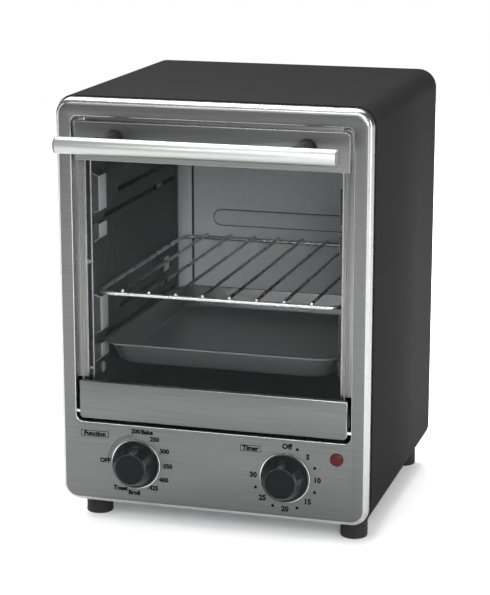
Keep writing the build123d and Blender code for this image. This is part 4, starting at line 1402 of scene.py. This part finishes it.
@dataclass
class Door:
    """The drop-down door: two rails, the pane, the handle and the hinge parts."""

    rail_corner: float = 0.0035
    rail_edge: float = 0.0009
    glass_edge: float = 0.0005
    tube_edge: float = 0.0004
    end_cap: Profile = (
        (0.0, 0.97), (0.15, 1.0), (0.55, 1.0), (0.85, 0.96), (1.0, 0.88), (1.0, 0.74), (0.8, 0.7),
    )
    post_foot: Profile = ((0.0, 0.96), (0.0006, 1.0), (0.0022, 1.0), (0.003, 0.94))
    post_flare: float = 0.006

    def build(self) -> None:
        """Build every piece of the door."""
        self.build_rail("door_top_rail", "door_upper_rail", high_corners=True)
        self.build_rail("door_bottom_rail", "door_lower_rail", high_corners=False)
        self.build_glass()
        self.build_handle()
        refined("hinge_pins", "door_pivot_pins", ZINC, "door", edge=0.0003)
        refined("hinge_arms", "door_stay_arms", GALVANISED, "door", edge=0.0002)
        refined("handle_screws", "handle_fixing_screws", ZINC, "door", edge=0.0003)
        dress_node("door_springs", SPRING_STEEL)

    def build_rail(self, node: str, name: str, high_corners: bool) -> None:
        """Fold one rail: rounded outer corners and eased front edges.

        Args:
            node: The rail's frame node.
            name: The piece's name.
            high_corners: Whether the rounded corners are the upper ones.
        """
        low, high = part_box(node)
        rail = start_box(name, low, high)
        corner_z = high.z if high_corners else low.z
        bevel(rail, lambda a, b: along(1)(a, b) and abs(a.z - corner_z) < NEAR, self.rail_corner, 6)
        bevel(rail, on_plane(1, low.y), self.rail_edge, 3)
        bevel(rail, on_plane(1, high.y), self.rail_edge / 2, 2)
        smooth(rail)
        dress(rail, BRUSHED_STEEL, "door", node)
        # The rail's eased edges and ends get the brighter steel: a painted highlight.
        trim(rail, ROLLED_EDGE_HIGHLIGHT, turned_away)

    def build_glass(self) -> None:
        """Grind the pane's edges."""
        low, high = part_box("door_glass")
        pane = start_box("door_pane", low, high)
        bevel(pane, lambda a, b: True, self.glass_edge, 2)
        smooth(pane)
        dress(pane, CLEAR_GLASS, "door", "door_glass")
        trim(pane, GLASS_EDGE, turned_away)

    def build_handle(self) -> None:
        """Turn the tube, its end caps and the two standoffs."""
        low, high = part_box("handle_tube")
        radius = (high.z - low.z) / 2
        axis_y = (low.y + high.y) / 2
        axis_z = (low.z + high.z) / 2
        length = high.x - low.x
        profile = both_ends(eased(radius, self.tube_edge), length)
        tube = turned("handle_bar", (low.x, axis_y, axis_z), (1, 0, 0), profile, 96)
        smooth(tube)
        dress(tube, SATIN_TUBE, "door", "handle_tube")
        caps_low, caps_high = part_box("handle_end_caps")
        caps = []
        for side, tip, seat in ((-1, caps_low.x, low.x), (1, caps_high.x, high.x)):
            cap_profile = scaled(self.end_cap, abs(tip - seat), radius)
            caps.append(turned("cap", (seat, axis_y, axis_z), (side, 0, 0), cap_profile, 64))
        cap_piece = join("handle_tube_caps", caps)
        smooth(cap_piece)
        dress(cap_piece, GREY_PLASTIC, "door", "handle_end_caps")
        self.build_standoffs(axis_y, axis_z, radius)

    def build_standoffs(self, axis_y: float, axis_z: float, tube_radius: float) -> None:
        """Turn the two standoffs, cradled under the tube.

        Args:
            axis_y: The tube's axis from front to back.
            axis_z: The tube's axis in height.
            tube_radius: The tube's radius.
        """
        low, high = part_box("handle_standoffs")
        radius = (high.z - low.z) / 2
        length = high.y - axis_y - tube_radius * 0.5
        profile = [
            *scaled(self.post_foot, 1.0, radius), (length * 0.5, radius * 0.9),
            (length - self.post_flare, radius * 0.93), (length, radius * 0.95),
        ]
        posts = []
        for x in (low.x + radius, high.x - radius):
            post = turned("post", (x, high.y, axis_z), (0, -1, 0), profile, 64)
            bar = turned(
                "tube_cutter", (x - 2 * radius, axis_y, axis_z), (1, 0, 0),
                [(0, tube_radius), (4 * radius, tube_radius)], 96,
            )
            cut(post, bar)
            posts.append(post)
        piece = join("handle_posts", posts)
        smooth(piece)
        dress(piece, BLACK_PLASTIC, "door", "handle_standoffs")


# ---- Shelves ------------------------------------------------------------------------------


@dataclass
class WireRack:
    """The wire rack: a bent wire frame with straight rods across it."""

    wire: float = 0.0017
    rod: float = 0.0013
    pitch: float = 0.02233
    count: int = 8
    corner: float = 0.012
    over: float = 0.001
    rod_tip: Profile = ((0.0, 0.45), (0.175, 0.8), (0.5, 1.0))

    def build(self) -> None:
        """Bend the frame and lay the rods."""
        low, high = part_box("wire_rack")
        pieces = [self.bend_frame(low, high)]
        first = -(self.count - 1) / 2 * self.pitch
        length = high.y - self.wire + self.over - low.y
        profile = both_ends(scaled(self.rod_tip, self.rod, self.rod), length)
        rod = turned("rack_rod", (first, low.y, high.z - self.rod), (0, 1, 0), profile, 20)
        pieces.append(rod)
        for index in range(1, self.count):
            pieces.append(copy_piece(rod, f"rack_rod_{index}", (index * self.pitch, 0, 0)))
        rack = join("rack_wires", pieces)
        smooth(rack, 45)
        dress(rack, CHROME_WIRE, "rack", "wire_rack")

    def bend_frame(self, low: Vector, high: Vector) -> bpy.types.Object:
        """Extrude and spin one wire section round the rack's outline.

        Args:
            low: Lowest corner of the rack.
            high: Highest corner of the rack.

        Returns:
            The closed wire frame.
        """
        half = high.x - self.wire
        front = low.y + self.over + self.wire
        back = high.y - self.wire
        z = low.z + self.wire
        bend = self.corner
        start = (-half + bend, front, z)
        wire = start_disc("rack_frame", start, self.wire, (1, 0, 0), 24)
        take(wire)
        bpy.ops.object.mode_set(mode="EDIT")
        bpy.ops.mesh.select_all(action="SELECT")
        bpy.ops.mesh.delete(type="ONLY_FACE")
        bpy.context.tool_settings.mesh_select_mode = (False, True, False)
        bpy.ops.mesh.select_all(action="SELECT")
        runs = (
            ((2 * (half - bend), 0, 0), (half - bend, front + bend)),
            ((0, back - front - 2 * bend, 0), (half - bend, back - bend)),
            ((-2 * (half - bend), 0, 0), (-half + bend, back - bend)),
            ((0, -(back - front - 2 * bend), 0), (-half + bend, front + bend)),
        )
        for run, (x, y) in runs:
            bpy.ops.mesh.extrude_region_move(TRANSFORM_OT_translate={"value": run})
            bpy.ops.mesh.spin(steps=8, angle=-math.pi / 2, center=(x, y, z), axis=(0, 0, 1))
        leave()
        recalculate(wire)
        return wire


@dataclass
class BakingTray:
    """The baking tray: a tapered well with a rolled rim."""

    rim: float = 0.004
    slope: float = 0.0065
    corner: float = 0.017
    floor_round: float = 0.002
    sheet: float = 0.001
    bead: float = 0.0013

    def build(self) -> None:
        """Draw the well, fold its rim and thicken the sheet."""
        low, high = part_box("baking_tray")
        well_low = (low.x + self.rim, low.y + self.rim, low.z)
        well_high = (high.x - self.rim, high.y - self.rim, high.z)
        tray = start_box("tray_pressing", well_low, well_high)
        span_x = high.x - low.x - 2 * self.rim
        span_y = high.y - low.y - 2 * self.rim
        middle = ((low.x + high.x) / 2, (low.y + high.y) / 2, low.z)
        pick_faces(tray, looks_along(2, -1))
        shrink = ((span_x - 2 * self.slope) / span_x, (span_y - 2 * self.slope) / span_y, 1)
        bpy.ops.transform.resize(value=shrink, center_override=middle)
        leave()
        bevel(tray, lambda a, b: abs(a.z - b.z) > self.corner / 2, self.corner, 8)
        bevel(tray, on_plane(2, low.z), self.floor_round, 5)
        pick_faces(tray, looks_along(2, 1))
        bpy.ops.mesh.delete(type="FACE")
        leave()
        pick_edges(tray, on_plane(2, high.z))
        folds = ((self.rim * 0.85, 0.0), (self.rim * 0.15, self.bead * 0.25), (0.0, self.bead * 0.75))
        for grow, drop in folds:
            bpy.ops.mesh.extrude_region_move(TRANSFORM_OT_translate={"value": (0, 0, -drop)})
            scale = ((span_x + 2 * grow) / span_x, (span_y + 2 * grow) / span_y, 1)
            bpy.ops.transform.resize(value=scale, center_override=(middle[0], middle[1], high.z))
            span_x += 2 * grow
            span_y += 2 * grow
        leave()
        recalculate(tray)
        modify(tray, "SOLIDIFY", thickness=self.sheet * 0.8, offset=-1, use_even_offset=True)
        smooth(tray, 35)
        dress(tray, TRAY_COAT, "tray", "baking_tray")


# ---- Studio -------------------------------------------------------------------------------


@dataclass(frozen=True)
class Softbox:
    """One rectangular studio light: its place, what it points at, its size and its power."""

    name: str
    place: Place
    target: Place
    width: float
    height: float
    power: float

    def hang(self) -> None:
        """Hang the light in the scene."""
        data = bpy.data.lights.new(self.name, "AREA")
        data.shape = "RECTANGLE"
        data.size = self.width
        data.size_y = self.height
        data.energy = self.power
        lamp = bpy.data.objects.new(self.name, data)
        lamp.location = self.place
        aim = Vector(self.target) - Vector(self.place)
        lamp.rotation_euler = aim.to_track_quat("-Z", "Y").to_euler()
        bpy.context.scene.collection.objects.link(lamp)


SOFTBOXES = (
    Softbox("overhead_softbox", (-0.35, 0.5, 1.5), (-0.1, 0.3, 0.0), 1.3, 1.6, 62.0),
    Softbox("tray_glint_softbox", (-0.5, -1.45, 1.0), (0.0, 0.1, 0.15), 0.7, 0.45, 9.0),
    Softbox("front_top_softbox", (0.25, -1.3, 1.5), (0.0, 0.0, 0.2), 1.3, 0.5, 16.0),
    Softbox("oven_fill_softbox", (0.75, -1.5, 0.75), (0.0, 0.1, 0.2), 0.7, 0.5, 25.0),
    Softbox("right_softbox", (1.6, -0.25, 0.45), (0.0, 0.0, 0.2), 0.25, 1.3, 9.0),
    Softbox("left_softbox", (-1.5, -0.6, 0.6), (0.0, 0.0, 0.2), 0.5, 1.2, 5.0),
)


@dataclass
class Studio:
    """The pale floor, the soft lights and the camera."""

    focal: float = 120.22
    sensor: float = 36.0
    eye: Place = (0.448186, -1.550918, 0.568107)
    yaw: float = 16.2267
    pitch: float = 13.7255
    floor_radius: float = 2.4
    floor_tone: Tone = (0.88, 0.88, 0.88)
    glow_from: float = -0.15
    glow_to: float = 1.35
    sky: float = 0.12
    horizon: float = 0.02
    floor_roughness: float = 0.8
    floor_specular: float = 0.1

    def build(self) -> None:
        """Set up the stage."""
        self.lay_floor()
        for box in SOFTBOXES:
            box.hang()
        self.place_camera()
        bpy.context.scene.view_settings.view_transform = "Standard"
        self.light_world()

    def light_world(self) -> None:
        """Surround the stage with white below the horizon and dim grey above it."""
        world = bpy.data.worlds.new("studio_world")
        bpy.context.scene.world = world
        world.use_nodes = True
        nodes = world.node_tree.nodes
        links = world.node_tree.links
        where = nodes.new("ShaderNodeTexCoord")
        parts = nodes.new("ShaderNodeSeparateXYZ")
        links.new(where.outputs["Generated"], parts.inputs["Vector"])
        level = nodes.new("ShaderNodeMapRange")
        settle_inputs(level, {
            "From Min": -self.horizon, "From Max": self.horizon, "To Min": 1.0, "To Max": self.sky,
        })
        links.new(parts.outputs["Z"], level.inputs["Value"])
        links.new(level.outputs["Result"], nodes["Background"].inputs["Strength"])
        nodes["Background"].inputs["Color"].default_value = (1, 1, 1, 1)

    def lay_floor(self) -> None:
        """Lay a round pale floor that glows softly towards its rim."""
        floor = start_disc("studio_floor", (0, 0, 0), self.floor_radius, (0, 0, 1), 96)
        paint = bpy.data.materials.new("studio_floor_paint")
        paint.use_nodes = True
        nodes = paint.node_tree.nodes
        links = paint.node_tree.links
        shader = nodes["Principled BSDF"]
        settle_inputs(shader, {
            "Base Color": (*self.floor_tone, 1), "Roughness": self.floor_roughness,
            "Specular IOR Level": self.floor_specular, "Emission Color": (1, 1, 1, 1),
        })
        where = nodes.new("ShaderNodeTexCoord")
        distance = nodes.new("ShaderNodeVectorMath")
        distance.operation = "LENGTH"
        links.new(where.outputs["Object"], distance.inputs[0])
        glow = nodes.new("ShaderNodeMapRange")
        glow.interpolation_type = "SMOOTHSTEP"
        settle_inputs(glow, {"From Min": self.glow_from, "From Max": self.glow_to, "To Max": 1.0})
        links.new(distance.outputs["Value"], glow.inputs["Value"])
        links.new(glow.outputs["Result"], shader.inputs["Emission Strength"])
        floor.data.materials.append(paint)

    def place_camera(self) -> None:
        """Stand the camera to the front right, a little above the oven."""
        data = bpy.data.cameras.new("studio_camera")
        data.lens = self.focal
        data.sensor_width = self.sensor
        data.sensor_fit = "AUTO"
        data.clip_end = 50.0
        camera = bpy.data.objects.new("studio_camera", data)
        camera.location = self.eye
        camera.rotation_euler = (math.radians(90 - self.pitch), 0, math.radians(self.yaw))
        bpy.context.scene.collection.objects.link(camera)
        bpy.context.scene.camera = camera


def main() -> None:
    """Build the oven's sub-assemblies in order, then its stage."""
    Studio().build()
    Casing().build()
    FrontPanel().build()
    PrintedDials().build()
    Cavity().build()
    Door().build()
    for label in ("function", "timer"):
        Knob(label, f"{label}_dial").build()
    refined("knob_rings", "knob_trim_rings", CHROME_TRIM, "oven", edge=0.0003)
    WireRack().build()
    BakingTray().build()
    refined("crumb_tray", "crumb_tray_sheet", CAVITY_COAT, "crumb_drawer", edge=0.0002)


if __name__ == "__main__":
    main()
